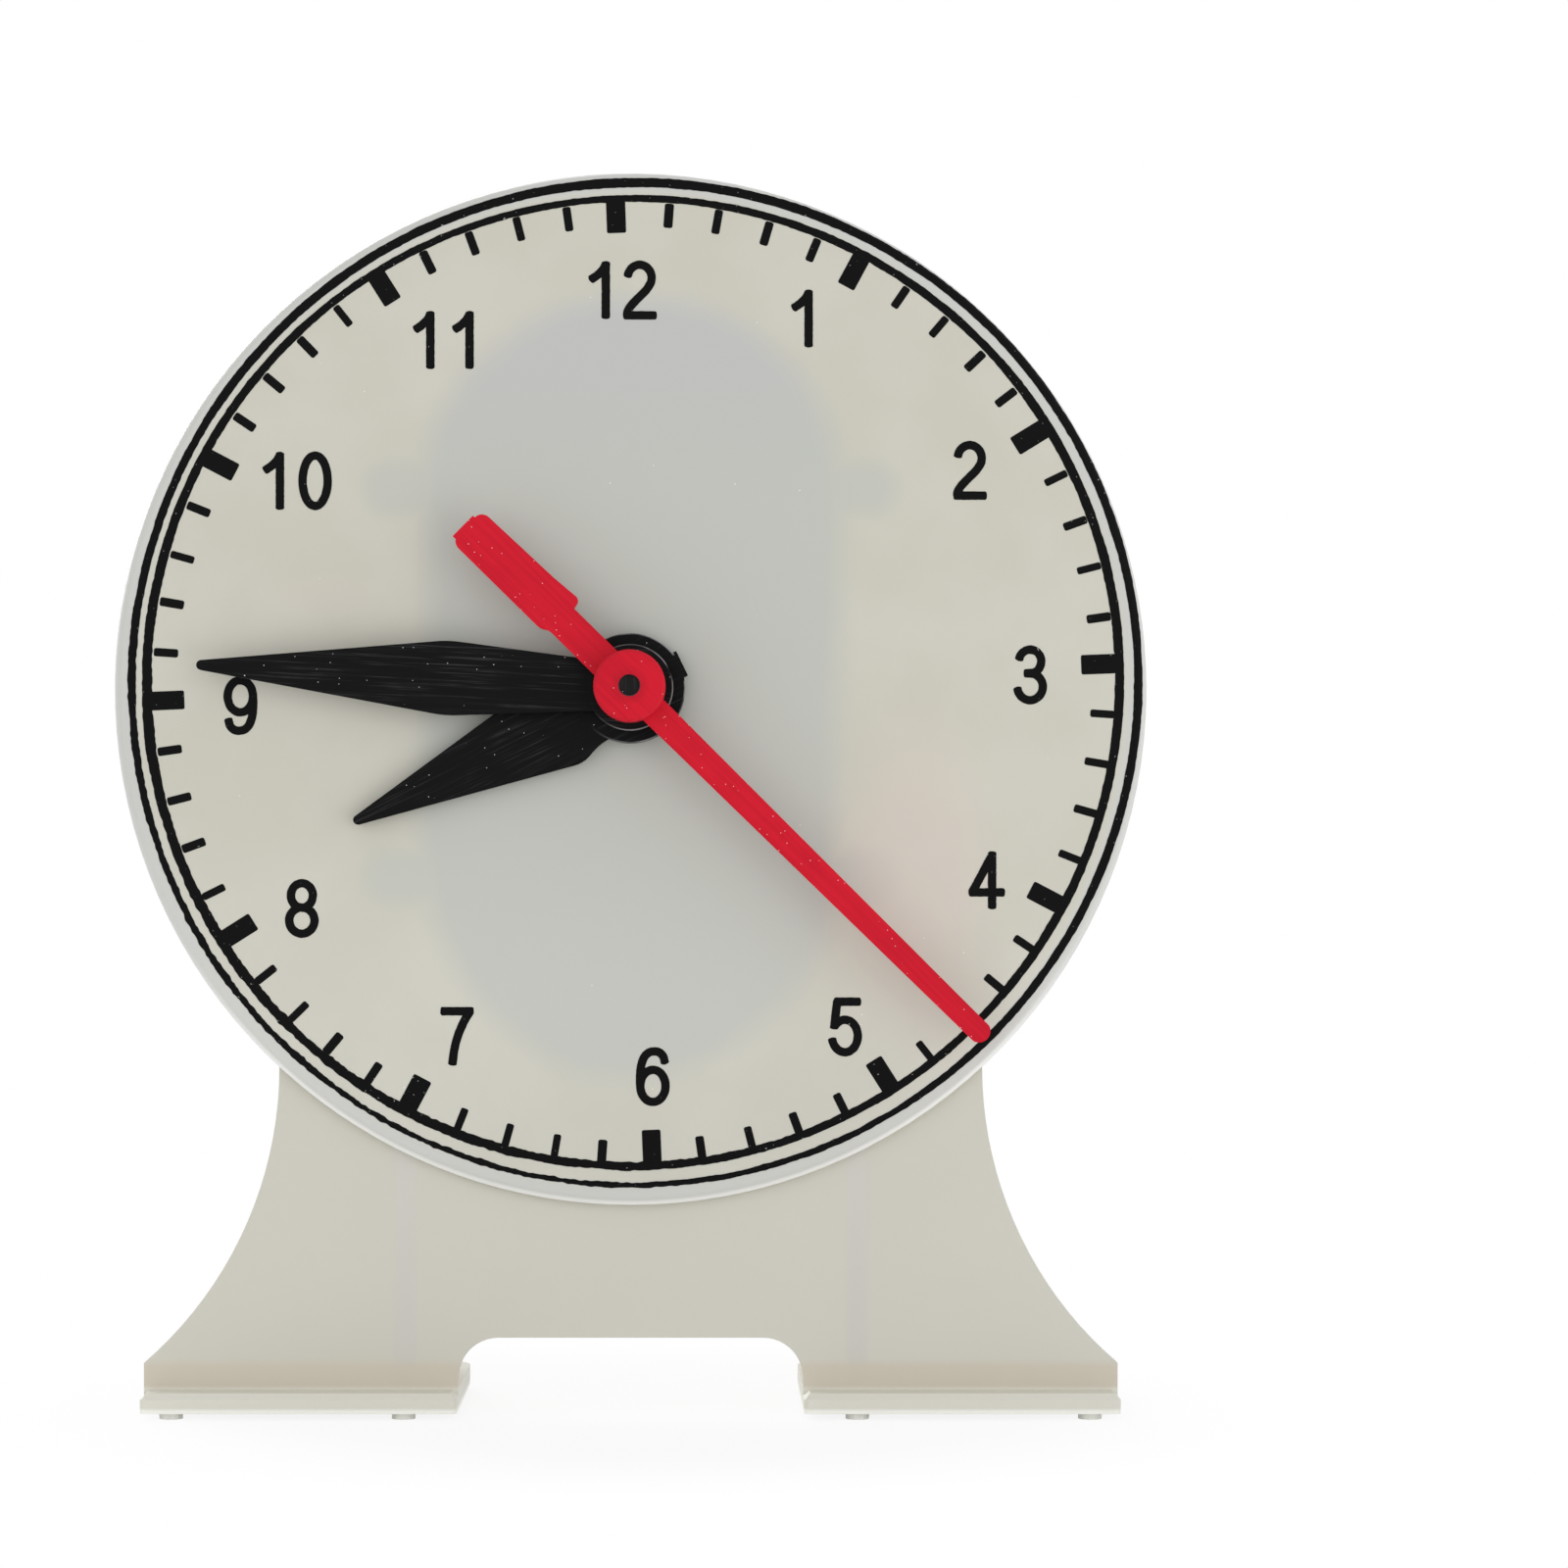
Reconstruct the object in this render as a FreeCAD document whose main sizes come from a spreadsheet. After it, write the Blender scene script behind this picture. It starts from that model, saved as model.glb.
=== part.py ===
import FreeCAD, Part
import math
import os
import Sketcher

from FreeCAD import Placement, Rotation, Vector

# A table clock for teaching the time. A setting knob at the back turns the seconds, minutes and hours
# hands together through a train of moulded gears behind the dial.
#
# World frame: X to the right of someone who faces the dial, Y away from them, Z up. The origin is on
# the table, in the middle of the ground that the clock covers. Every piece is drawn as it is seen from
# the front: its own x is right, its own y is up and its own z comes forwards from the back face of the
# dial plate, so what lies at a depth d behind that face is at z = -d.

DRIVING_DIMENSIONS = {
    # dial plate
    "dial_diameter": 118.5,
    "dial_centre_height": 83.6,
    "dial_thickness": 2.0,
    "dial_edge_round": 1.2,
    "skirt_wall": 1.5,
    "skirt_depth": 3.5,
    "skirt_gap_play": 0.4,
    "centre_boss_height": 0.3,
    "centre_boss_radius": 6.5,
    "pin_boss_radius": 2.6,
    "boss_radius": 3.0,
    "pilot_radius": 0.9,
    "pilot_bottom": 1.0,
    "third_bearing_bottom": 0.8,
    # stand
    "stand_thickness": 2.6,
    "stand_half_width": 56.05,
    "waist_half_width": 40.45,
    "waist_height": 40.2,
    "side_curve_radius": 45.0,
    "corner_height": 6.1,
    "stand_top": 50.0,
    "stand_top_round": 4.0,
    "case_cutout_radius": 45.7,
    "notch_half_width": 19.83,
    "notch_top": 9.0,
    "notch_round": 4.6,
    "pip_height": 0.75,
    "pip_radius": 1.35,
    "pip_from_side": 3.4,
    "pip_from_front": 2.3,
    "pip_from_back": 5.0,
    "foot_thickness": 2.3,
    "foot_front": 4.5,
    "foot_back": 30.0,
    "foot_corner": 4.0,
    "foot_front_corner": 0.8,
    "foot_lip_bevel": 0.7,
    "gusset_centre": 26.0,
    "gusset_thickness": 2.0,
    "gusset_top": 38.0,
    "gusset_reach": 25.5,
    "gusset_curve": 70.0,
    "gusset_blunt": 1.5,
    "gusset_sunk": 0.3,
    "stand_boss_radius": 2.6,
    "stand_boss_play": 0.1,
    "upper_stand_screw_side": 33.0,
    "upper_stand_screw_drop": 39.1,
    "lower_stand_screw_side": 20.0,
    "lower_stand_screw_drop": 49.6,
    # rear cover
    "case_half_width": 24.0,
    "case_wall": 1.6,
    "case_depth": 14.0,
    "cavity_depth": 12.0,
    "case_back_round": 2.0,
    "lip_height": 1.2,
    "lip_play": 0.2,
    "lip_wall": 1.0,
    "ear_side": 28.2,
    "ear_rise": 22.3,
    "ear_radius": 3.2,
    "ear_front": 3.0,
    "ear_thickness": 2.0,
    "ear_hole_radius": 1.1,
    # gear train
    "arbor_distance": 21.0,
    "pressure_angle": 25.0,
    "backlash": 0.12,
    "second_pinion_teeth": 8,
    "third_wheel_teeth": 64,
    "third_pinion_teeth": 8,
    "centre_wheel_teeth": 60,
    "cannon_pinion_teeth": 12,
    "minute_wheel_teeth": 36,
    "minute_pinion_teeth": 10,
    "hour_wheel_teeth": 40,
    "fine_pinion_shift": 0.29,
    "minute_pinion_shift": 0.15,
    "cannon_pinion_shift": 0.10,
    # wheel webs, sunk between hub and rim
    "web_recess": 0.6,
    "hour_wheel_hub": 6.0,
    "hour_wheel_rim": 14.6,
    "centre_wheel_hub": 6.0,
    "centre_wheel_rim": 16.3,
    "third_wheel_hub": 5.0,
    "third_wheel_rim": 16.6,
    "minute_wheel_hub": 6.0,
    "minute_wheel_rim": 13.8,
    # depths behind the dial's back face
    "hour_wheel_front": 0.5,
    "hour_wheel_back": 2.5,
    "hour_hub_back": 2.8,
    "cannon_front": 3.0,
    "cannon_back": 5.4,
    "minute_wheel_front": 3.1,
    "minute_wheel_back": 5.1,
    "clip_front": 5.25,
    "clip_back": 5.65,
    "centre_wheel_front": 6.0,
    "centre_wheel_back": 8.0,
    "minute_arbor_back": 8.2,
    "third_pinion_front": 5.7,
    "third_wheel_front": 8.7,
    "third_wheel_back": 10.7,
    "third_hub_back": 11.3,
    "second_pinion_front": 8.5,
    "second_pinion_back": 11.0,
    "second_collar_back": 11.45,
    "bearing_front": 11.5,
    "second_boss_front": 11.6,
    "blind_bearing_bottom": 13.2,
    "pin_back": 13.0,
    "pin_socket_front": 9.0,
    "collar_back": 14.6,
    "washer_back": 15.05,
    "knob_front": 15.3,
    "drive_back": 21.9,
    "knob_web_back": 22.9,
    "knob_back": 26.0,
    # arbors and bores
    "running_play": 0.05,
    "second_shaft_radius": 1.25,
    "minute_tube_radius": 2.5,
    "minute_spigot_radius": 2.2,
    "hour_tube_radius": 3.8,
    "hour_spigot_radius": 3.5,
    "tube_end_sunk": 0.1,
    "shaft_end_sunk": 0.15,
    "shaft_bevel": 0.2,
    "cannon_collar_radius": 4.1,
    "centre_seat_radius": 3.0,
    "second_collar_radius": 2.4,
    "front_journal_radius": 1.25,
    "front_journal_end": 1.0,
    "rear_journal_radius": 3.0,
    "drive_radius": 2.5,
    "drive_flat": 1.9,
    "pin_radius": 1.5,
    "pin_groove_radius": 1.15,
    "pin_socket_depth": 1.2,
    "clip_radius": 3.1,
    "clip_mouth_half_width": 0.95,
    "third_boss_back": 5.2,
    "bearing_boss_radius": 5.2,
    "socket_boss_radius": 3.2,
    # knob and its washer
    "knob_radius": 10.0,
    "knob_wall": 1.8,
    "knob_hub_radius": 4.4,
    "knob_edge_bevel": 0.8,
    "knob_face_radius": 6.2,
    "knob_face_bevel": 0.8,
    "knob_face_sunk": 0.5,
    "knob_screw_well_radius": 3.2,
    "knob_screw_play": 0.2,
    "knob_flutes": 14,
    "knob_flute_radius": 1.7,
    "knob_flute_bite": 0.7,
    "washer_radius": 4.9,
    "washer_bore_radius": 3.3,
    "washer_steel": 0.25,
    # hands, with distances in front of the dial's front face
    "hour_hand_angle": 244.2,
    "minute_hand_angle": 273.0,
    "second_hand_angle": 134.6,
    "hour_hub_bottom": 0.3,
    "hour_hub_top": 2.3,
    "hour_blade_bottom": 0.95,
    "hour_blade_top": 2.15,
    "hour_hub_radius": 6.27,
    "hour_hand_length": 35.1,
    "minute_hub_bottom": 2.6,
    "minute_hub_top": 4.5,
    "minute_blade_bottom": 2.95,
    "minute_blade_top": 4.15,
    "minute_hub_radius": 4.92,
    "minute_hand_length": 49.4,
    "second_hub_bottom": 4.8,
    "second_hub_top": 9.6,
    "second_blade_bottom": 5.0,
    "second_blade_top": 6.2,
    "second_hub_radius": 4.07,
    "second_hand_length": 56.9,
    "second_tail_length": 25.95,
    "second_hub_bevel": 0.3,
    "gate_stub": 0.3,
    # screws
    "screw_head_height": 1.4,
    "case_screw_head_radius": 2.1,
    "stand_screw_head_radius": 3.1,
    "knob_screw_head_radius": 2.4,
    "knob_screw_radius": 1.0,
    "knob_screw_length": 5.9,
}

WHOLE_TURN = 360.0

doc = FreeCAD.newDocument("TeachingClock")
sheet = doc.addObject("Spreadsheet::Sheet", "Dimensions")
for row, (alias, number) in enumerate(DRIVING_DIMENSIONS.items(), start=1):
    sheet.set(f"A{row}", alias)
    sheet.set(f"B{row}", str(number))
    sheet.setAlias(f"B{row}", alias)
doc.recompute()


# --- sizes that remember their formula -----------------------------------------------------------

def formula_of(number):
    return getattr(number, "formula", repr(float(number)))


def joined(left, symbol, right, result):
    return Size(result, f"({formula_of(left)} {symbol} {formula_of(right)})")


class Size(float):
    """A number that keeps the formula over the sheet's cells from which it comes."""

    def __new__(cls, number, formula):
        made = float.__new__(cls, number)
        made.formula = formula
        return made

    def __add__(self, other):
        return joined(self, "+", other, float(self) + float(other))

    def __radd__(self, other):
        return joined(other, "+", self, float(other) + float(self))

    def __sub__(self, other):
        return joined(self, "-", other, float(self) - float(other))

    def __rsub__(self, other):
        return joined(other, "-", self, float(other) - float(self))

    def __mul__(self, other):
        return joined(self, "*", other, float(self) * float(other))

    def __rmul__(self, other):
        return joined(other, "*", self, float(other) * float(self))

    def __truediv__(self, other):
        return joined(self, "/", other, float(self) / float(other))

    def __neg__(self):
        return Size(-float(self), f"(-1 * {self.formula})")

    def root(self):
        return Size(math.sqrt(self), f"sqrt({self.formula})")


def size(alias):
    return Size(sheet.get(alias), f"Dimensions.{alias}")


def bind(item, path, number):
    """Tie a property to the sheet, where its number comes from the sheet."""
    if hasattr(number, "formula"):
        item.setExpression(path, number.formula)


# --- sketches and features -----------------------------------------------------------------------

FACING_FRONT = Rotation(Vector(1, 0, 0), 90)


def dial_back():
    """Where the back face of the dial plate lies along Y, between the second hand's hub and the feet."""
    return (size("dial_thickness") + size("second_hub_top") - size("foot_back")) / 2


def new_body(name, height=0.0, clockwise=0.0):
    """A body on the clock's middle plane, drawn from the front and turned clockwise like a hand."""
    body = doc.addObject("PartDesign::Body", name)
    body.Label = name
    turned = FACING_FRONT.multiply(Rotation(Vector(0, 0, 1), -float(clockwise)))
    body.Placement = Placement(Vector(0, dial_back(), height), turned)
    bind(body, "Placement.Base.y", dial_back())
    bind(body, "Placement.Base.z", height)
    return body


def origin_part(body, role):
    return next(part for part in body.Origin.OriginFeatures if part.Role == role)


def new_sketch(body, name, level=0.0, plane="XY_Plane"):
    sketch = body.newObject("Sketcher::SketchObject", name)
    sketch.AttachmentSupport = [(origin_part(body, plane), "")]
    sketch.MapMode = "FlatFace"
    sketch.AttachmentOffset = Placement(Vector(0, 0, level), Rotation())
    bind(sketch, "AttachmentOffset.Base.z", level)
    return sketch


def hold(sketch, constraint, number):
    index = sketch.addConstraint(constraint)
    bind(sketch, f"Constraints[{index}]", number)


def pin(sketch, item, end, x, y):
    """Hold one point of the sketch at x, y. A zero lies on the sketch's own axis."""
    for kind, number, axis in (("DistanceX", x, -2), ("DistanceY", y, -1)):
        if float(number) == 0.0:
            sketch.addConstraint(Sketcher.Constraint("PointOnObject", item, end, axis))
        else:
            hold(sketch, Sketcher.Constraint(kind, -1, 1, item, end, float(number)), number)


def circle(sketch, x, y, radius):
    item = sketch.addGeometry(Part.Circle(Vector(x, y, 0), Vector(0, 0, 1), radius))
    pin(sketch, item, 3, x, y)
    hold(sketch, Sketcher.Constraint("Radius", item, float(radius)), radius)


def loop(sketch, corners):
    """Draw a closed outline. A corner is (x, y), or (x, y, radius) where the side that leaves it is an
    arc, with its centre on the left of the way round for a positive radius."""
    sides = []
    for here, there in zip(corners, corners[1:] + corners[:1]):
        start, end = Vector(here[0], here[1], 0), Vector(there[0], there[1], 0)
        if len(here) == 2:
            sides.append((sketch.addGeometry(Part.LineSegment(start, end)), 1, 2))
            continue
        radius = abs(float(here[2]))
        way = 1.0 if here[2] > 0 else -1.0
        chord = end - start
        left = Vector(-chord.y, chord.x, 0).normalize() * way
        reach = math.sqrt(max(radius ** 2 - (chord.Length / 2) ** 2, 0.0))
        crown = (start + end) * 0.5 + left * (reach - radius)
        ends = (start, end) if way > 0 else (end, start)
        item = sketch.addGeometry(Part.Arc(ends[0], crown, ends[1]))
        sides.append((item, 1, 2) if way > 0 else (item, 2, 1))
    for number, (item, first, last) in enumerate(sides):
        corner = corners[number]
        following, its_first, _ = sides[(number + 1) % len(sides)]
        pin(sketch, item, first, corner[0], corner[1])
        sketch.addConstraint(Sketcher.Constraint("Coincident", item, last, following, its_first))
        if len(corner) == 3:
            radius = corner[2] if corner[2] > 0 else -corner[2]
            hold(sketch, Sketcher.Constraint("Radius", item, float(radius)), radius)


def volume_of(body):
    doc.recompute()
    return body.Shape.Volume


def pad(body, sketch, length, backwards=False, midplane=False):
    made = body.newObject("PartDesign::Pad", sketch.Name + "_pad")
    made.Profile = sketch
    made.Length = float(length)
    bind(made, "Length", length)
    made.Reversed = backwards
    if midplane:
        made.SideType = "Symmetric"
    body.Tip = made
    return made


def pocket(body, sketch, depth, forwards=False):
    """Cut away from the sketch, backwards unless told otherwise, and make sure that it cuts."""
    before = volume_of(body)
    made = body.newObject("PartDesign::Pocket", sketch.Name + "_pocket")
    made.Profile = sketch
    made.Length = float(depth)
    bind(made, "Length", depth)
    made.Reversed = forwards
    body.Tip = made
    if volume_of(body) >= before:
        raise RuntimeError(f"{made.Name} cuts nothing")
    return made


def polar(body, feature, count):
    before = volume_of(body)
    made = body.newObject("PartDesign::PolarPattern", feature.Name + "_round")
    made.Originals = [feature]
    made.Axis = (origin_part(body, "Z_Axis"), [""])
    made.Angle = WHOLE_TURN
    made.Occurrences = int(count)
    bind(made, "Occurrences", count)
    body.Tip = made
    if volume_of(body) == before:
        raise RuntimeError(f"{made.Name} repeats nothing")
    return made


def turn(body, name, section):
    """Revolve a section about the body's own axis. It is given as (radius, depth) corners, with the
    depth counted backwards from the dial's back face."""
    sketch = new_sketch(body, name, plane="XZ_Plane")
    loop(sketch, [(radius, -depth if depth else 0.0) for radius, depth in section])
    made = body.newObject("PartDesign::Revolution", name + "_turned")
    made.Profile = sketch
    made.ReferenceAxis = (origin_part(body, "Z_Axis"), [""])
    made.Angle = WHOLE_TURN
    body.Tip = made
    return made


def edges_where(feature, wanted):
    doc.recompute()
    edges = enumerate(feature.Shape.Edges, start=1)
    return [f"Edge{number}" for number, edge in edges if wanted(edge)]


def bevel(body, feature, width, wanted):
    names = edges_where(feature, wanted)
    if not names:
        raise RuntimeError(f"{body.Label} has no edge to bevel")
    made = body.newObject("PartDesign::Chamfer", feature.Name + "_bevel")
    made.Base = (feature, names)
    made.Size = float(width)
    bind(made, "Size", width)
    body.Tip = made
    return made


def rounded(body, feature, radius, level, inwards):
    """Round the outer edges at one level with three bevels that touch the arc of that radius. The
    level is along Z, and inwards is +1 or -1, the way along Z that leads into the solid."""
    eighth = math.tan(math.pi / 8)
    sixteenth = math.tan(math.pi / 16)
    first = radius * (1 - eighth)
    made = bevel(body, feature, first, lambda edge: all_at(edge, "Z", level))
    lower = level + inwards * first
    return bevel(body, made, radius * (eighth - sixteenth),
                 lambda edge: all_at(edge, "Z", level) or all_at(edge, "Z", lower))


def all_at(edge, axis, place):
    """Whether an edge lies wholly at one place along an axis of its body."""
    low = getattr(edge.BoundBox, axis + "Min")
    high = getattr(edge.BoundBox, axis + "Max")
    return abs(low - place) < 1e-4 and abs(high - place) < 1e-4


def mirrored(corners):
    """The right half of an outline, bottom to top, closed by its mirror image. An arc belongs to the
    corner that it leaves, so it moves to the other end of its side."""
    left = []
    for number in range(len(corners) - 1, -1, -1):
        corner = corners[number]
        arc = corners[number - 1][2:] if number else ()
        left.append((-corner[0], corner[1], *arc))
    return corners + left


# --- involute gears ------------------------------------------------------------------------------

PRESSURE = math.radians(sheet.get("pressure_angle"))
ROOT_DEPTH = 1.25
PAST_TIP = 0.15
CURVED_BELOW = 20


def module_of(pinion_teeth, wheel_teeth):
    """The module that puts a pinion and its wheel on arbors at their distance."""
    return 2 * size("arbor_distance") / (size(pinion_teeth) + size(wheel_teeth))


def tip_radius(teeth, module, shift):
    return module * (teeth / 2 + 1 + shift)


def involute(angle):
    return math.tan(angle) - angle


def gap_half_angle(radius, teeth, module, shift):
    """Half of the angle between two teeth, measured on a circle round the gear's centre."""
    pitch_radius = module * teeth / 2
    tooth = (math.pi / 2 + 2 * shift * math.tan(PRESSURE)) / teeth
    tooth -= sheet.get("backlash") / 4 / pitch_radius
    slope = math.acos(min(1.0, pitch_radius * math.cos(PRESSURE) / radius))
    return math.pi / teeth - (tooth + involute(PRESSURE) - involute(slope))


def point_at(radius, angle):
    return radius * math.sin(angle), radius * math.cos(angle)


def radius_through(first, middle, last):
    """The radius of the circle through three points, negative if the way round it is clockwise."""
    a = math.dist(first, middle)
    b = math.dist(middle, last)
    c = math.dist(first, last)
    cross = (middle[0] - first[0]) * (last[1] - first[1]) - (middle[1] - first[1]) * (last[0] - first[0])
    return a * b * c / (2 * cross)


def cut_teeth(body, name, teeth, module, shift, front, back, turned=0.0):
    """Cut the space between two teeth into a blank and repeat it round. The first space is straight
    up, or turned from there by a share of the tooth pitch. Each flank passes through three points of
    its involute, as an arc on a pinion and as two straight lines on a wheel, where it hardly curves.
    On a pinion it goes on below the base circle as a straight line to the root."""
    pitch_radius = float(module * teeth / 2)
    base_radius = pitch_radius * math.cos(PRESSURE)
    root_radius = pitch_radius - module * (ROOT_DEPTH - shift)
    outer_radius = tip_radius(teeth, module, shift) + module * PAST_TIP
    form_radius = max(base_radius, root_radius)
    middle_radius = (form_radius + outer_radius) / 2
    turned_by = turned * 2 * math.pi / teeth

    def flank(radius, side):
        half = gap_half_angle(radius, float(teeth), float(module), float(shift))
        return point_at(float(radius), turned_by + side * half)

    left = [flank(r, -1) for r in (outer_radius, middle_radius, form_radius)]
    right = [flank(r, 1) for r in (form_radius, middle_radius, outer_radius)]
    if teeth < CURVED_BELOW:
        root_half = gap_half_angle(form_radius, float(teeth), float(module), float(shift))
        corners = [(*left[0], radius_through(*left)), left[2]]
        corners += [point_at(root_radius, turned_by + side * root_half) for side in (-1, 1)]
        corners += [(*right[0], radius_through(*right)), (*right[2], float(outer_radius))]
    else:
        corners = left + right[:2] + [(*right[2], float(outer_radius))]
    sketch = new_sketch(body, name + "_gap", level=-front)
    loop(sketch, corners)
    gap = pocket(body, sketch, back - front)
    return polar(body, gap, teeth)


# --- dial plate ----------------------------------------------------------------------------------
# A shallow moulded pan: a disc with a rounded front edge and a skirt behind it, which is open below
# for the stand. Its back carries the bearings, the screw bosses and a lip that locates the cover.

def case_outline(inset):
    """The gear case's outline: an upright oval, round about the two outer arbors."""
    radius = size("case_half_width") - inset
    arbor = size("arbor_distance")
    end = arbor + radius
    return [
        (radius, -arbor), (radius, arbor, radius), (0.0, end, radius),
        (-radius, arbor), (-radius, -arbor, radius), (0.0, -end, radius),
    ]


def four_corners(side, rise):
    return [(side, rise), (-side, rise), (-side, -rise), (side, -rise)]


def stand_screw_places():
    """Screw places on the stand, as side and drop from the dial's centre."""
    upper = (size("upper_stand_screw_side"), -size("upper_stand_screw_drop"))
    lower = (size("lower_stand_screw_side"), -size("lower_stand_screw_drop"))
    return [upper, (-upper[0], upper[1]), lower, (-lower[0], lower[1])]


def case_screw_places():
    return four_corners(size("ear_side"), size("ear_rise"))


dial_radius = size("dial_diameter") / 2
dial_height = size("dial_centre_height")
dial_thickness = size("dial_thickness")
play = size("running_play")
drop = size("arbor_distance")


def make_dial_plate():
    body = new_body("dial_plate", dial_height)
    disc = new_sketch(body, "disc")
    circle(disc, 0.0, 0.0, dial_radius)
    plate = pad(body, disc, dial_thickness)
    rounded(body, plate, size("dial_edge_round"), dial_thickness, inwards=-1)

    skirt = new_sketch(body, "skirt")
    circle(skirt, 0.0, 0.0, dial_radius)
    circle(skirt, 0.0, 0.0, dial_radius - size("skirt_wall"))
    pad(body, skirt, size("skirt_depth"), backwards=True)
    passage = new_sketch(body, "stand_passage", level=-size("skirt_depth"))
    side = size("waist_half_width") + size("skirt_gap_play")
    loop(passage, mirrored([(side, -dial_radius - 1), (side, -dial_radius / 2)]))
    pocket(body, passage, size("skirt_depth"), forwards=True)

    lip = new_sketch(body, "case_lip")
    outside = size("case_wall") + size("lip_play")
    loop(lip, case_outline(outside))
    loop(lip, case_outline(outside + size("lip_wall")))
    pad(body, lip, size("lip_height"), backwards=True)

    centre, above, below = [(0.0, 0.0)], [(0.0, drop)], [(0.0, -drop)]
    case_screws, stand_screws = case_screw_places(), stand_screw_places()
    low_boss, case_boss, stand_boss = size("centre_boss_height"), size("ear_front"), size("stand_thickness")
    third_boss = size("third_boss_back")
    bosses = (
        ("centre_boss", centre, size("centre_boss_radius"), low_boss),
        ("pin_boss", below, size("pin_boss_radius"), low_boss),
        ("third_boss", above, size("boss_radius"), third_boss),
        ("case_bosses", case_screws, size("boss_radius"), case_boss),
        ("stand_bosses", stand_screws, size("stand_boss_radius"), stand_boss),
    )
    for name, places, radius, height in bosses:
        sketch = new_sketch(body, name)
        for x, y in places:
            circle(sketch, x, y, radius)
        pad(body, sketch, height, backwards=True)

    pilot, pilot_bottom = size("pilot_radius"), -size("pilot_bottom")
    journal, tube = size("front_journal_radius") + play, size("hour_tube_radius") + play
    bores = (
        ("case_pilots", case_screws, pilot, case_boss, pilot_bottom),
        ("stand_pilots", stand_screws, pilot, stand_boss, pilot_bottom),
        ("third_bearing", above, journal, third_boss, size("third_bearing_bottom")),
        ("pin_socket", below, size("pin_radius"), low_boss, -size("pin_socket_depth")),
        ("hour_bearing", centre, tube, low_boss, -dial_thickness),
    )
    for name, places, radius, back, front in bores:
        sketch = new_sketch(body, name, level=-back)
        for x, y in places:
            circle(sketch, x, y, radius)
        pocket(body, sketch, back - front, forwards=True)
    return body


# --- stand ---------------------------------------------------------------------------------------
# One moulding: a plate with hollow-curved sides and a notch between its feet, two flat feet that run
# out behind, a gusset over each foot and small round pips underneath.

def make_stand():
    body = new_body("stand")
    bottom = size("pip_height")
    width = size("stand_half_width")
    waist = size("waist_half_width")
    top = size("stand_top")
    top_round = size("stand_top_round")
    cutout = size("case_cutout_radius")
    below_centre = dial_height - top
    cutout_side = (cutout * cutout - below_centre * below_centre).root()
    notch, notch_top, notch_round = size("notch_half_width"), size("notch_top"), size("notch_round")
    outline = mirrored([
        (notch - notch_round, notch_top, -notch_round),
        (notch, notch_top - notch_round),
        (notch, bottom),
        (width, bottom),
        (width, size("corner_height"), -size("side_curve_radius")),
        (waist, size("waist_height")),
        (waist, top - top_round, top_round),
        (waist - top_round, top),
        (cutout_side, top, -cutout),
    ])
    sketch = new_sketch(body, "plate")
    loop(sketch, outline)
    pad(body, sketch, size("stand_thickness"), backwards=True)

    front, back = size("foot_front"), size("foot_back")
    corner, sharp = size("foot_corner"), size("foot_front_corner")
    feet = new_sketch(body, "feet", level=-bottom, plane="XZ_Plane")
    for side in (1, -1):
        inner, outer = (notch, width) if side > 0 else (-width, -notch)
        loop(feet, [
            (inner + corner, -back),
            (outer - corner, -back, corner),
            (outer, corner - back),
            (outer, front - sharp, sharp),
            (outer - sharp, front),
            (inner + sharp, front, sharp),
            (inner, front - sharp),
            (inner, corner - back, corner),
        ])
    foot = pad(body, feet, size("foot_thickness"), backwards=True)
    foot_top = bottom + size("foot_thickness")
    bevel(body, foot, size("foot_lip_bevel"),
          lambda edge: all_at(edge, "Z", front) and all_at(edge, "Y", foot_top))

    rib_back, rib_top = size("gusset_reach"), size("gusset_top")
    blunt, sunk = size("gusset_blunt"), size("gusset_sunk")
    plate_back = size("stand_thickness")
    for side in (1, -1):
        gusset = new_sketch(body, "gusset", level=side * size("gusset_centre"), plane="YZ_Plane")
        loop(gusset, [
            (foot_top - sunk, sunk - plate_back),
            (foot_top - sunk, -rib_back),
            (foot_top + blunt, -rib_back, size("gusset_curve")),
            (rib_top, -plate_back - blunt),
            (rib_top, sunk - plate_back),
        ])
        pad(body, gusset, size("gusset_thickness"), midplane=True)

    pips = new_sketch(body, "pips", level=-bottom, plane="XZ_Plane")
    for x in (size("gusset_centre"), width - size("pip_from_side")):
        for side in (1, -1):
            circle(pips, side * x, front - size("pip_from_front"), size("pip_radius"))
            circle(pips, side * x, size("pip_from_back") - back, size("pip_radius"))
    pad(body, pips, bottom)

    holes = new_sketch(body, "boss_holes")
    for x, y in stand_screw_places():
        circle(holes, x, dial_height + y, size("stand_boss_radius") + size("stand_boss_play"))
    pocket(body, holes, size("stand_thickness"))
    return body


# --- rear cover ----------------------------------------------------------------------------------
# A deep shell over the gears, screwed to the dial by four ears. Its back carries the rear bearings.

def ear_outline(side, rise):
    """An ear that runs out of the case wall round a screw, to the right or to the left."""
    radius = size("ear_radius")
    way = 1 if side > 0 else -1
    wall = way * (size("case_half_width") - size("case_wall") / 2)
    corners = [(wall, rise - way * radius), (side, rise - way * radius, radius)]
    corners += [(side + way * radius, rise, radius), (side, rise + way * radius)]
    return corners + [(wall, rise + way * radius)]


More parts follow.
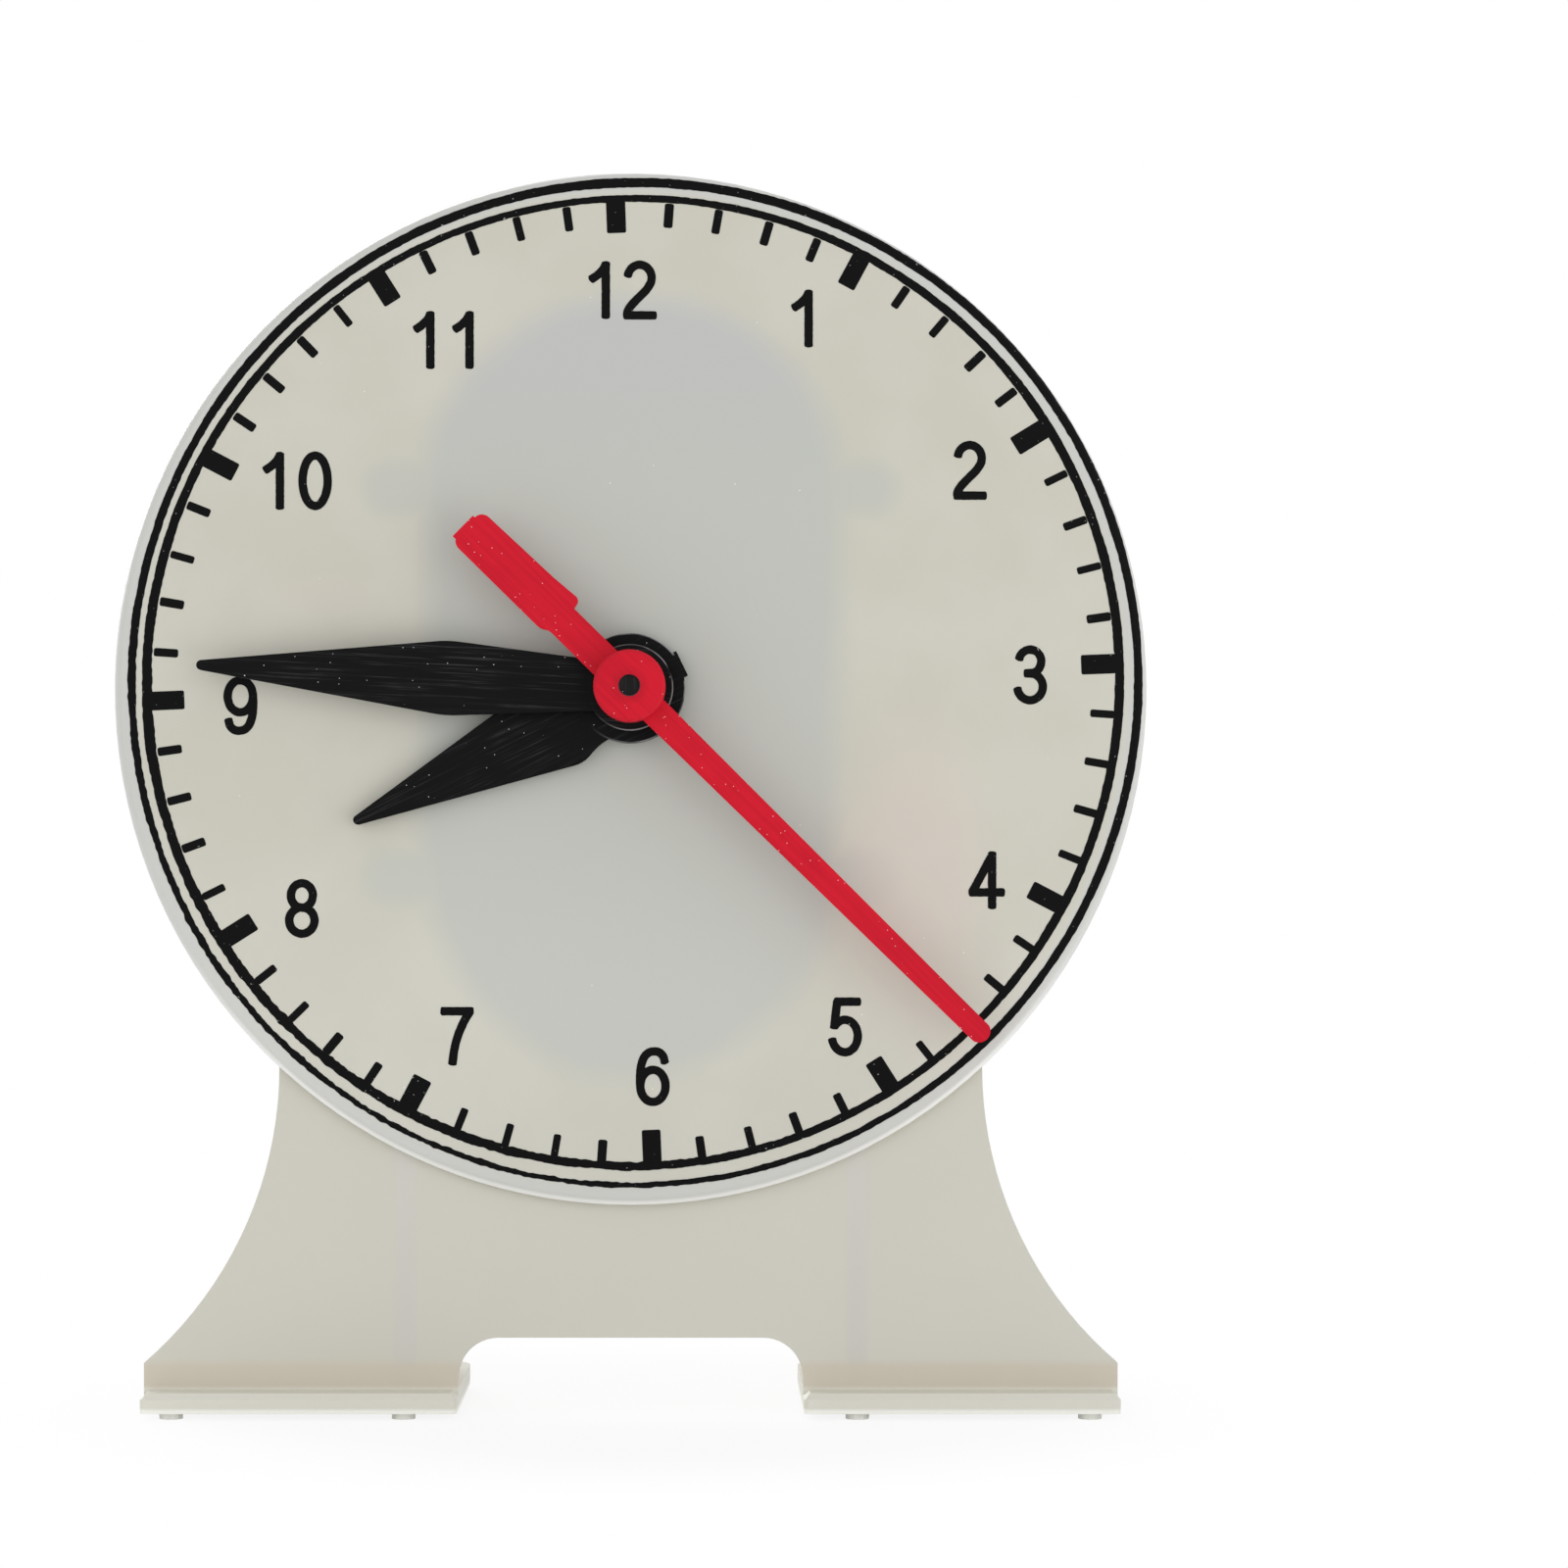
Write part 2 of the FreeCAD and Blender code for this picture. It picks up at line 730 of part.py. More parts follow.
def make_rear_cover():
    body = new_body("rear_cover", dial_height)
    outside = new_sketch(body, "case")
    loop(outside, case_outline(0.0))
    case = pad(body, outside, size("case_depth"), backwards=True)
    rounded(body, case, size("case_back_round"), -size("case_depth"), inwards=1)
    cavity = new_sketch(body, "cavity")
    loop(cavity, case_outline(size("case_wall")))
    pocket(body, cavity, size("cavity_depth"))

    ears = new_sketch(body, "ears", level=-size("ear_front"))
    for x, y in case_screw_places():
        loop(ears, ear_outline(x, y))
    pad(body, ears, size("ear_thickness"), backwards=True)
    screw_holes = new_sketch(body, "ear_holes", level=-size("ear_front"))
    for x, y in case_screw_places():
        circle(screw_holes, x, y, size("ear_hole_radius"))
    pocket(body, screw_holes, size("ear_thickness"))

    cavity_back = size("cavity_depth")
    bearing, socket = size("bearing_boss_radius"), size("socket_boss_radius")
    bosses = (
        ("second_boss", 0.0, socket, size("second_boss_front"), cavity_back),
        ("pin_boss", -drop, socket, size("pin_socket_front"), cavity_back),
        ("inner_collar", drop, bearing, size("bearing_front"), cavity_back),
        ("outer_collar", drop, bearing, size("case_depth"), size("collar_back")),
    )
    for name, y, radius, front, back in bosses:
        sketch = new_sketch(body, name, level=-front)
        circle(sketch, 0.0, y, radius)
        pad(body, sketch, back - front, backwards=True)
    shaft = size("second_shaft_radius") + play
    journal = size("rear_journal_radius") + play
    bores = (
        ("second_bearing", 0.0, shaft, size("second_boss_front"), size("blind_bearing_bottom")),
        ("pin_socket", -drop, size("pin_radius"), size("pin_socket_front"), size("pin_back")),
        ("knob_bearing", drop, journal, size("bearing_front"), size("collar_back")),
    )
    for name, y, radius, front, back in bores:
        sketch = new_sketch(body, name, level=-front)
        circle(sketch, 0.0, y, radius)
        pocket(body, sketch, back - front)
    return body


# --- gear train ----------------------------------------------------------------------------------
# Seconds to minutes is 60 to 1: an 8-tooth pinion on the second shaft and a 64-tooth third wheel,
# then an 8-tooth pinion and the 60-tooth centre wheel. Minutes to hours is 12 to 1: a 12-tooth cannon
# pinion and a 36-tooth minute wheel, then a 10-tooth pinion and the 40-tooth hour wheel. The third
# wheel turns above the dial's centre and the minute wheel below it, so every mesh lies on one upright
# line. There each pinion shows a tooth and each wheel a gap.

MESH = {
    "second": module_of("second_pinion_teeth", "third_wheel_teeth"),
    "third": module_of("third_pinion_teeth", "centre_wheel_teeth"),
    "cannon": module_of("cannon_pinion_teeth", "minute_wheel_teeth"),
    "hour": module_of("minute_pinion_teeth", "hour_wheel_teeth"),
}
UP = 0.0
HALF_PITCH = 0.5


def phase_below(teeth, tooth):
    """The turn, as a share of the pitch, that puts a tooth or a gap straight down."""
    below = (teeth / 2) % 1
    return (below + (HALF_PITCH if tooth else 0.0)) % 1


def rim_section(wheel, inner, tip):
    """A wheel blank's section from its bore outwards along the front, where the web is sunk, and
    over the tip to the back."""
    front, back = size(f"{wheel}_front"), size(f"{wheel}_back")
    hub, rim = size(f"{wheel}_hub"), size(f"{wheel}_rim")
    web = front + size("web_recess")
    return [(inner, front), (hub, front), (hub, web), (rim, web), (rim, front), (tip, front), (tip, back)]


def make_hour_wheel():
    """The hour wheel, with the tube that carries the hour hand through the dial."""
    body = new_body("hour_wheel", dial_height)
    teeth, module, shift = size("hour_wheel_teeth"), MESH["hour"], -size("minute_pinion_shift")
    tip = tip_radius(teeth, module, shift)
    bore = size("minute_tube_radius") + play
    front, back = size("hour_wheel_front"), size("hour_wheel_back")
    shoulder = -dial_thickness - size("hour_hub_bottom")
    nose = size("tube_end_sunk") - dial_thickness - size("hour_hub_top")
    tube, spigot = size("hour_tube_radius"), size("hour_spigot_radius")
    hub, hub_back = size("hour_wheel_hub"), size("hour_hub_back")
    turn(body, "blank", [
        (bore, nose), (spigot, nose), (spigot, shoulder), (tube, shoulder),
        *rim_section("hour_wheel", tube, tip),
        (hub, back), (hub, hub_back), (bore, hub_back),
    ])
    cut_teeth(body, "hour", teeth, module, shift, front, back, phase_below(teeth, tooth=False))
    return body


def make_minute_arbor():
    """The minute tube with its cannon pinion, a collar and the seat of the centre wheel."""
    body = new_body("minute_arbor", dial_height)
    teeth, module, shift = size("cannon_pinion_teeth"), MESH["cannon"], size("cannon_pinion_shift")
    bore = size("second_shaft_radius") + play
    nose = size("tube_end_sunk") - dial_thickness - size("minute_hub_top")
    shoulder = -dial_thickness - size("minute_hub_bottom")
    front, back = size("cannon_front"), size("cannon_back")
    spigot, tube = size("minute_spigot_radius"), size("minute_tube_radius")
    collar, seat = size("cannon_collar_radius"), size("centre_seat_radius")
    tip = tip_radius(teeth, module, shift)
    wheel_front, end = size("centre_wheel_front"), size("minute_arbor_back")
    turn(body, "arbor", [
        (bore, nose), (spigot, nose), (spigot, shoulder), (tube, shoulder), (tube, front), (tip, front),
        (tip, back), (collar, back), (collar, wheel_front), (seat, wheel_front), (seat, end), (bore, end),
    ])
    cut_teeth(body, "cannon", teeth, module, shift, front, back, phase_below(teeth, tooth=True))
    return body


def make_centre_wheel():
    body = new_body("centre_wheel", dial_height)
    teeth, module, shift = size("centre_wheel_teeth"), MESH["third"], -size("fine_pinion_shift")
    tip = tip_radius(teeth, module, shift)
    seat = size("centre_seat_radius")
    front, back = size("centre_wheel_front"), size("centre_wheel_back")
    turn(body, "blank", rim_section("centre_wheel", seat, tip) + [(seat, back)])
    cut_teeth(body, "centre", teeth, module, shift, front, back, UP)
    return body


def make_second_shaft():
    body = new_body("second_shaft", dial_height)
    radius, bevel = size("second_shaft_radius"), size("shaft_bevel")
    nose = size("shaft_end_sunk") - dial_thickness - size("second_hub_top")
    end = size("pin_back")
    turn(body, "shaft", [
        (0.0, nose), (radius - bevel, nose), (radius, nose + bevel),
        (radius, end - bevel), (radius - bevel, end), (0.0, end),
    ])
    return body


def make_second_pinion():
    body = new_body("second_pinion", dial_height)
    teeth, module, shift = size("second_pinion_teeth"), MESH["second"], size("fine_pinion_shift")
    tip = tip_radius(teeth, module, shift)
    shaft, collar = size("second_shaft_radius"), size("second_collar_radius")
    front, back, end = size("second_pinion_front"), size("second_pinion_back"), size("second_collar_back")
    turn(body, "blank", [
        (shaft, front), (tip, front), (tip, back), (collar, back), (collar, end), (shaft, end),
    ])
    cut_teeth(body, "second", teeth, module, shift, front, back, HALF_PITCH)
    return body


def make_third_wheel():
    """The wheel that the knob turns: front journal, pinion, wheel, rear journal and flatted drive."""
    body = new_body("third_wheel", dial_height + drop)
    wheel_teeth, wheel_module = size("third_wheel_teeth"), MESH["second"]
    pinion_teeth, pinion_module = size("third_pinion_teeth"), MESH["third"]
    shift = size("fine_pinion_shift")
    wheel_tip = tip_radius(wheel_teeth, wheel_module, -shift)
    pinion_tip = tip_radius(pinion_teeth, pinion_module, shift)
    journal, rear, drive = size("front_journal_radius"), size("rear_journal_radius"), size("drive_radius")
    nose, pinion_front = size("front_journal_end"), size("third_pinion_front")
    front, back = size("third_wheel_front"), size("third_wheel_back")
    hub, hub_back = size("third_wheel_hub"), size("third_hub_back")
    knob_front, end = size("knob_front"), size("drive_back")
    screw = size("knob_screw_radius")
    screw_bottom = end - size("knob_screw_length")
    turn(body, "blank", [
        (0.0, nose), (journal, nose), (journal, pinion_front), (pinion_tip, pinion_front),
        *rim_section("third_wheel", pinion_tip, wheel_tip),
        (hub, back), (hub, hub_back), (rear, hub_back), (rear, knob_front), (drive, knob_front),
        (drive, end), (screw, end), (screw, screw_bottom), (0.0, screw_bottom),
    ])
    down = phase_below(wheel_teeth, tooth=False)
    cut_teeth(body, "third", wheel_teeth, wheel_module, -shift, front, back, down)
    down = phase_below(pinion_teeth, tooth=True)
    cut_teeth(body, "pinion", pinion_teeth, pinion_module, shift, pinion_front, front, down)
    flat = new_sketch(body, "drive_flat", level=-knob_front)
    loop(flat, mirrored([(drive + 1, size("drive_flat")), (drive + 1, drive + 1)]))
    pocket(body, flat, end - knob_front)
    return body


def make_minute_wheel():
    """The minute wheel and its pinion, which turn freely on a fixed steel pin."""
    body = new_body("minute_wheel", dial_height - drop)
    wheel_teeth, wheel_module = size("minute_wheel_teeth"), MESH["cannon"]
    pinion_teeth, pinion_module = size("minute_pinion_teeth"), MESH["hour"]
    wheel_shift, shift = -size("cannon_pinion_shift"), size("minute_pinion_shift")
    wheel_tip = tip_radius(wheel_teeth, wheel_module, wheel_shift)
    pinion_tip = tip_radius(pinion_teeth, pinion_module, shift)
    bore, pinion_front = size("pin_radius") + play, size("hour_wheel_front")
    front, back = size("minute_wheel_front"), size("minute_wheel_back")
    turn(body, "blank", [
        (bore, pinion_front), (pinion_tip, pinion_front),
        *rim_section("minute_wheel", pinion_tip, wheel_tip),
        (bore, back),
    ])
    cut_teeth(body, "minute", wheel_teeth, wheel_module, wheel_shift, front, back, UP)
    cut_teeth(body, "pinion", pinion_teeth, pinion_module, shift, pinion_front, front, HALF_PITCH)
    return body


def make_minute_wheel_pin():
    body = new_body("minute_wheel_pin", dial_height - drop)
    radius, groove = size("pin_radius"), size("pin_groove_radius")
    front, end = -size("pin_socket_depth"), size("pin_back")
    near, far = size("clip_front"), size("clip_back")
    turn(body, "pin", [
        (0.0, front), (radius, front), (radius, near), (groove, near),
        (groove, far), (radius, far), (radius, end), (0.0, end),
    ])
    return body


def make_retaining_clip():
    """A sprung steel clip in the pin's groove, open on one side, which keeps the minute wheel on."""
    body = new_body("retaining_clip", dial_height - drop)
    front, back = size("clip_front"), size("clip_back")
    groove, radius = size("pin_groove_radius"), size("clip_radius")
    turn(body, "ring", [(groove, front), (radius, front), (radius, back), (groove, back)])
    mouth = new_sketch(body, "mouth", level=-front)
    half_width = size("clip_mouth_half_width")
    loop(mouth, mirrored([(half_width, -radius - 1), (half_width, 0.0)]))
    pocket(body, mouth, back - front)
    return body


# --- setting knob --------------------------------------------------------------------------------

def make_spring_washer():
    """A dished steel washer on the cover's collar, which drags on the knob so the hands stay put."""
    body = new_body("spring_washer", dial_height + drop)
    front, back = size("collar_back"), size("washer_back")
    bore, radius, steel = size("washer_bore_radius"), size("washer_radius"), size("washer_steel")
    turn(body, "dish", [(bore, back - steel), (radius, front), (radius, front + steel), (bore, back)])
    return body


def make_setting_knob():
    """A fluted knob, hollow in front round a hub with a flatted bore, and sunk behind for its screw."""
    body = new_body("setting_knob", dial_height + drop)
    radius, wall, hub = size("knob_radius"), size("knob_wall"), size("knob_hub_radius")
    front, end = size("knob_front"), size("knob_back")
    web_front, web_back = size("drive_back"), size("knob_web_back")
    face, well = size("knob_face_radius"), size("knob_screw_well_radius")
    sunk_face = face - size("knob_face_bevel")
    sunk = end - size("knob_face_sunk")
    blank = turn(body, "blank", [
        (0.0, front), (hub, front), (hub, web_front), (radius - wall, web_front), (radius - wall, front),
        (radius, front), (radius, end), (face, end), (sunk_face, sunk), (well, sunk),
        (well, web_back), (0.0, web_back),
    ])
    bevel(body, blank, size("knob_edge_bevel"),
          lambda edge: all_at(edge, "Z", -end) and edge.BoundBox.XLength > radius + face)
    bore = new_sketch(body, "drive_bore", level=-front)
    drive, flat = size("drive_radius"), size("drive_flat")
    side = (drive * drive - flat * flat).root()
    below = side * -1
    loop(bore, [(side, flat), (below, flat, drive), (0.0, -drive, drive)])
    pocket(body, bore, web_front - front)
    hole = new_sketch(body, "screw_hole", level=-web_front)
    circle(hole, 0.0, 0.0, size("knob_screw_radius") + size("knob_screw_play"))
    pocket(body, hole, web_back - web_front)
    flute = new_sketch(body, "flute", level=-front)
    flute_radius = size("knob_flute_radius")
    circle(flute, 0.0, radius + flute_radius - size("knob_flute_bite"), flute_radius)
    polar(body, pocket(body, flute, end - front), size("knob_flutes"))
    return body


# --- hands ---------------------------------------------------------------------------------------
# Flat moulded blades, each with a thicker round hub that is pressed on its own tube or shaft. They
# are drawn pointing to twelve and turned to where they stand. The stub of the mould's gate stands out
# at the end away from the point.

def make_hand(name, outlines, bore, hub_bevel=None):
    """A hand whose sizes in the sheet all start with the first word of its name."""
    which = name.split("_")[0]
    hub_bottom, hub_top = size(f"{which}_hub_bottom"), size(f"{which}_hub_top")
    blade_bottom, blade_top = size(f"{which}_blade_bottom"), size(f"{which}_blade_top")
    body = new_body(name, dial_height, size(f"{which}_hand_angle"))
    hub = new_sketch(body, "hub", level=dial_thickness + hub_bottom)
    circle(hub, 0.0, 0.0, size(f"{which}_hub_radius"))
    pad(body, hub, hub_top - hub_bottom)
    blade = new_sketch(body, "blade", level=dial_thickness + blade_bottom)
    for outline in outlines:
        loop(blade, outline)
    made = pad(body, blade, blade_top - blade_bottom)
    top = dial_thickness + hub_top
    if hub_bevel:
        bevel(body, made, size(hub_bevel), lambda edge: all_at(edge, "Z", top))
    hole = new_sketch(body, "bore", level=top)
    circle(hole, 0.0, 0.0, size(bore))
    pocket(body, hole, hub_top - hub_bottom)
    return body


def make_hour_hand():
    """A dagger blade, wide just outside its hub and straight from there to a small round point."""
    root, neck, neck_hollow = (3.6, 1.0), (4.14, 4.7), 7.0
    shoulder, shoulder_round, widest = (4.87, 7.4), 3.5, (5.17, 9.58)
    tip_half_width, tip_round = 0.54, 0.55
    tip_start = size("hour_hand_length") - 0.45
    blade = mirrored([
        root, (*neck, -neck_hollow), (*shoulder, shoulder_round), widest,
        (tip_half_width, tip_start, tip_round),
    ])
    gate_half_width, gate_root = 1.55, -5.0
    gate_end = -size("hour_hub_radius") - size("gate_stub")
    gate = mirrored([(gate_half_width, gate_end), (gate_half_width, gate_root)])
    return make_hand("hour_hand", [blade, gate], "hour_spigot_radius")


def make_minute_hand():
    """A long blade that widens to two fifths of its length and then runs to a round point."""
    root, neck = (2.7, 0.6), (2.96, 4.75)
    widest, widest_round, narrowing = (4.17, 19.5), 13.0, (4.1, 22.3)
    tip_half_width, tip_round = 0.56, 0.57
    tip_start = size("minute_hand_length") - 0.46
    blade = mirrored([
        root, neck, (*widest, widest_round), narrowing, (tip_half_width, tip_start, tip_round),
    ])
    return make_hand("minute_hand", [blade], "minute_spigot_radius")


def make_second_hand():
    """A straight pointer with a paddle for a counterweight, and a tall hub that fingers can turn. The
    paddle's two shoulders differ: the left one is square and stands out, the right one slopes."""
    tail, corner, half_width = size("second_tail_length"), 1.15, 2.47
    corner_start, corner_end = half_width - corner, corner - tail
    stub_end, stub_side = -tail - size("gate_stub"), 1.95
    stub_meets = corner_end - math.sqrt(corner ** 2 - (stub_side - corner_start) ** 2)
    slope, slope_round, slope_foot, slope_hollow = (2.46, -12.3), 1.8, (2.1, -11.3), 1.2
    right_neck, behind_hub, before_hub = (1.88, -10.5), (1.88, -1.2), (1.66, 1.2)
    tip_half_width, tip_round = 1.25, 1.32
    tip_start = size("second_hand_length") - 0.95
    left_neck, step, step_round = (-1.88, -10.7), (-2.4, -10.8), 0.69
    flare, flare_start = (-3.0, -11.55), (-2.75, -14.8)
    right = [
        (stub_side, stub_end), (stub_side, stub_meets, corner), (half_width, corner_end),
        (*slope, slope_round), (*slope_foot, -slope_hollow), right_neck, behind_hub, before_hub,
        (tip_half_width, tip_start, tip_round),
    ]
    left = [
        (-tip_half_width, tip_start), (-before_hub[0], before_hub[1]), (-behind_hub[0], behind_hub[1]),
        left_neck, (*step, step_round), flare, flare_start, (-half_width, corner_end, corner),
        (-corner_start, -tail), (-corner_start, stub_end),
    ]
    return make_hand("second_hand", [right + left], "second_shaft_radius", "second_hub_bevel")


# --- screws --------------------------------------------------------------------------------------
# Each screw is one solid with a plain round head and a plain shank as wide as the thread's core.

def screw(shank_radius, shank_length, head_radius):
    """One screw with its seat at the origin and its head towards +Z."""
    head_height = sheet.get("screw_head_height")
    section = Part.makePolygon([
        Vector(0, 0, head_height),
        Vector(0, 0, -shank_length),
        Vector(shank_radius, 0, -shank_length),
        Vector(shank_radius, 0, 0),
        Vector(head_radius, 0, 0),
        Vector(head_radius, 0, head_height),
        Vector(0, 0, head_height),
    ])
    return Part.Face(section).revolve(Vector(0, 0, 0), Vector(0, 0, 1), WHOLE_TURN)


def make_screws(name, places, seat_depth, shank_radius, shank_length, head_radius):
    """A group of like screws, driven in from behind, at places in the dial plane."""
    group = []
    for x, z in places:
        one = screw(shank_radius, shank_length, head_radius)
        one.Placement = Placement(Vector(x, dial_back() + seat_depth, z), Rotation(Vector(1, 0, 0), -90))
        group.append(one)
    made = doc.addObject("Part::Feature", name)
    made.Label = name
    made.Shape = group[0] if len(group) == 1 else Part.makeCompound(group)
    return made


def make_all_screws():
    centre = sheet.get("dial_centre_height")
    shank = sheet.get("pilot_radius")
    into_dial = sheet.get("pilot_bottom") - 0.1
    case_seat = sheet.get("ear_front") + sheet.get("ear_thickness")
    stand_seat = sheet.get("stand_thickness")
    knob_seat = sheet.get("knob_web_back")
    knob_places = [(0.0, centre + sheet.get("arbor_distance"))]
    return [
        make_screws("case_screws", [(x, centre + y) for x, y in case_screw_places()],
                    case_seat, shank, case_seat + into_dial, sheet.get("case_screw_head_radius")),
        make_screws("stand_screws", [(x, centre + y) for x, y in stand_screw_places()],
                    stand_seat, shank, stand_seat + into_dial, sheet.get("stand_screw_head_radius")),
        make_screws("knob_screw", knob_places, knob_seat, sheet.get("knob_screw_radius"),
                    sheet.get("knob_screw_length"), sheet.get("knob_screw_head_radius")),
    ]


# --- the whole clock -----------------------------------------------------------------------------

def check_and_export(pieces):
    """Write each piece to its own file once the whole document is known to be sound."""
    doc.recompute()
    failed = [item.Name for item in doc.Objects if {"Invalid", "Error"} & set(item.State)]
    if failed:
        raise RuntimeError(f"failed features: {failed}")
    for piece in pieces:
        if piece.Shape.isNull() or not piece.Shape.isValid():
            raise RuntimeError(f"{piece.Label} has no sound solid")
    os.makedirs("parts", exist_ok=True)
    for piece in pieces:
        piece.Shape.exportStep(f"parts/{piece.Label}.step")
        print(f"{piece.Label}: {len(piece.Shape.Solids)} solids, {piece.Shape.Volume:.0f} mm3")


check_and_export([
    make_dial_plate(),
    make_stand(),
    make_rear_cover(),
    make_hour_wheel(),
    make_minute_arbor(),
    make_centre_wheel(),
    make_second_shaft(),
    make_second_pinion(),
    make_third_wheel(),
    make_minute_wheel(),
    make_minute_wheel_pin(),
    make_retaining_clip(),
    make_spring_washer(),
    make_setting_knob(),
    make_hour_hand(),
    make_minute_hand(),
    make_second_hand(),
    *make_all_screws(),
])
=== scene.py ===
import math

import bmesh
import bpy
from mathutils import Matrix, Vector, noise
from mathutils.geometry import delaunay_2d_cdt


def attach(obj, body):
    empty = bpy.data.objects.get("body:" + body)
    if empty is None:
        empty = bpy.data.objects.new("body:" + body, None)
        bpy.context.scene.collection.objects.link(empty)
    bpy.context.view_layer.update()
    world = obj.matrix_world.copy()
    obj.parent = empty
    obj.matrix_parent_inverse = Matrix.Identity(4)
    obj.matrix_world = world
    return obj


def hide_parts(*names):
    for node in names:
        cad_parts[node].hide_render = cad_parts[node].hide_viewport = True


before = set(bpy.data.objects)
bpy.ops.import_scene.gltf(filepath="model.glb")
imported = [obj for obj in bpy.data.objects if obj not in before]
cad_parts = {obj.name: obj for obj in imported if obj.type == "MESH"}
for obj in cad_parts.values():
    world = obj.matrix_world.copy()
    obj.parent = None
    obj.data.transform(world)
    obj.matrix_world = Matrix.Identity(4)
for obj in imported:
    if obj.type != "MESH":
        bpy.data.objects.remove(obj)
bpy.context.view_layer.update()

MM = 0.001


# --- stand ---------------------------------------------------------------------------------------
# One injection moulding in off-white styrene: a plate with hollow-curved sides, a foot on each side
# and a gusset over each foot. It carries the dial on four screws. Painted shade makes the plate
# warmer just over the feet and cooler in a line where each gusset backs the plate, and painted
# light makes the feet and their pips paler.

def on_screen(red, green, blue):
    """A colour given from 0 to 255 as a screen shows it, turned into what a shader takes."""
    channels = [channel / 255 for channel in (red, green, blue)]
    return (*[c / 12.92 if c <= 0.04045 else ((c + 0.055) / 1.055) ** 2.4 for c in channels], 1.0)


def wire(tree, kind, inputs=None, **properties):
    """Add a node and feed each input, by name or number, with a value or another node's output."""
    node = tree.nodes.new(kind)
    for name, value in properties.items():
        setattr(node, name, value)
    for socket, value in (inputs or {}).items():
        if isinstance(value, bpy.types.NodeSocket):
            tree.links.new(value, node.inputs[socket])
        else:
            node.inputs[socket].default_value = value
    return node


def maths(tree, operation, *values):
    """One step of arithmetic on numbers and on other nodes' outputs."""
    return wire(tree, "ShaderNodeMath", dict(enumerate(values)), operation=operation).outputs[0]


def less(tree, value, amount):
    return maths(tree, "SUBTRACT", value, amount)


def times(tree, value, factor):
    return maths(tree, "MULTIPLY", value, factor)


def off(tree, value, middle):
    """How far a value lies from the middle, on either side of it."""
    return maths(tree, "ABSOLUTE", less(tree, value, middle))


def split(tree, vector):
    return wire(tree, "ShaderNodeSeparateXYZ", {0: vector}).outputs


def fade(tree, value, low, high, start=0.0, end=1.0):
    """A smooth step from start to end while the value goes from low to high."""
    inputs = {"Value": value, "From Min": low, "From Max": high, "To Min": start, "To Max": end}
    return wire(tree, "ShaderNodeMapRange", inputs, interpolation_type="SMOOTHSTEP").outputs[0]


def blended(tree, share, first, second):
    return wire(tree, "ShaderNodeMix", {0: share, 6: first, 7: second}, data_type="RGBA").outputs[2]


def cloud(tree, place, scale, detail=3.0):
    inputs = {"Vector": place, "Scale": scale, "Detail": detail}
    return wire(tree, "ShaderNodeTexNoise", inputs).outputs[0]


def mottled(tree, place, scale, low, high, first, second):
    """Two colours in soft patches, one below the low level of a cloud and one above the high."""
    return blended(tree, fade(tree, cloud(tree, place, scale), low, high), first, second)


def new_finish(name, roughness, specular=0.5):
    """A material with one Principled shader, and the place on the piece for its patterns."""
    material = bpy.data.materials.new(name)
    material.use_nodes = True
    tree = material.node_tree
    shader = tree.nodes["Principled BSDF"]
    shader.inputs["Roughness"].default_value = roughness
    shader.inputs["Specular IOR Level"].default_value = specular
    place = tree.nodes.new("ShaderNodeTexCoord").outputs["Object"]
    return material, tree, shader, place


def paint(tree, shader, colour):
    tree.links.new(colour, shader.inputs["Base Color"])


def grain(tree, shader, place, scale, depth):
    """The fine unevenness of a moulded or worked surface."""
    bump = wire(tree, "ShaderNodeBump", {"Height": cloud(tree, place, scale), "Strength": 0.35})
    bump.inputs["Distance"].default_value = depth
    tree.links.new(bump.outputs[0], shader.inputs["Normal"])


def specks(tree, place, scale, size, share):
    """Specks of dust: 1 on a small dot in a share of the cells of an even scatter, 0 elsewhere."""
    cells = wire(tree, "ShaderNodeTexVoronoi", {"Vector": place, "Scale": scale})
    chance = wire(tree, "ShaderNodeSeparateColor", {0: cells.outputs["Color"]}).outputs[0]
    near = maths(tree, "LESS_THAN", cells.outputs["Distance"], size)
    return times(tree, near, maths(tree, "LESS_THAN", chance, share))


def moulded(name, node, edge, finish, body):
    """A piece as it leaves its mould: the node's form as one closed skin, with its edges eased."""
    same_spot, nearly_flat, sharp = 0.001 * MM, math.radians(0.5), math.radians(35)
    form = bmesh.new()
    form.from_mesh(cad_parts[node].data)
    bmesh.ops.remove_doubles(form, verts=form.verts, dist=same_spot)
    bmesh.ops.dissolve_limit(form, angle_limit=nearly_flat, verts=form.verts, edges=form.edges)
    form.verts.index_update()
    points = [vertex.co[:] for vertex in form.verts]
    faces = [[vertex.index for vertex in face.verts] for face in form.faces]
    form.free()
    mesh = bpy.data.meshes.new(name)
    mesh.from_pydata(points, [], faces)
    mesh.shade_smooth()
    mesh.set_sharp_from_angle(angle=sharp)
    mesh.materials.append(finish)
    piece = bpy.data.objects.new(name, mesh)
    bpy.context.scene.collection.objects.link(piece)
    ease = piece.modifiers.new("eased edges", "BEVEL")
    ease.width = edge
    ease.segments = 2
    ease.angle_limit = sharp
    flat = piece.modifiers.new("flat faces stay flat", "WEIGHTED_NORMAL")
    flat.keep_sharp = True
    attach(piece, body)
    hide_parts(node)


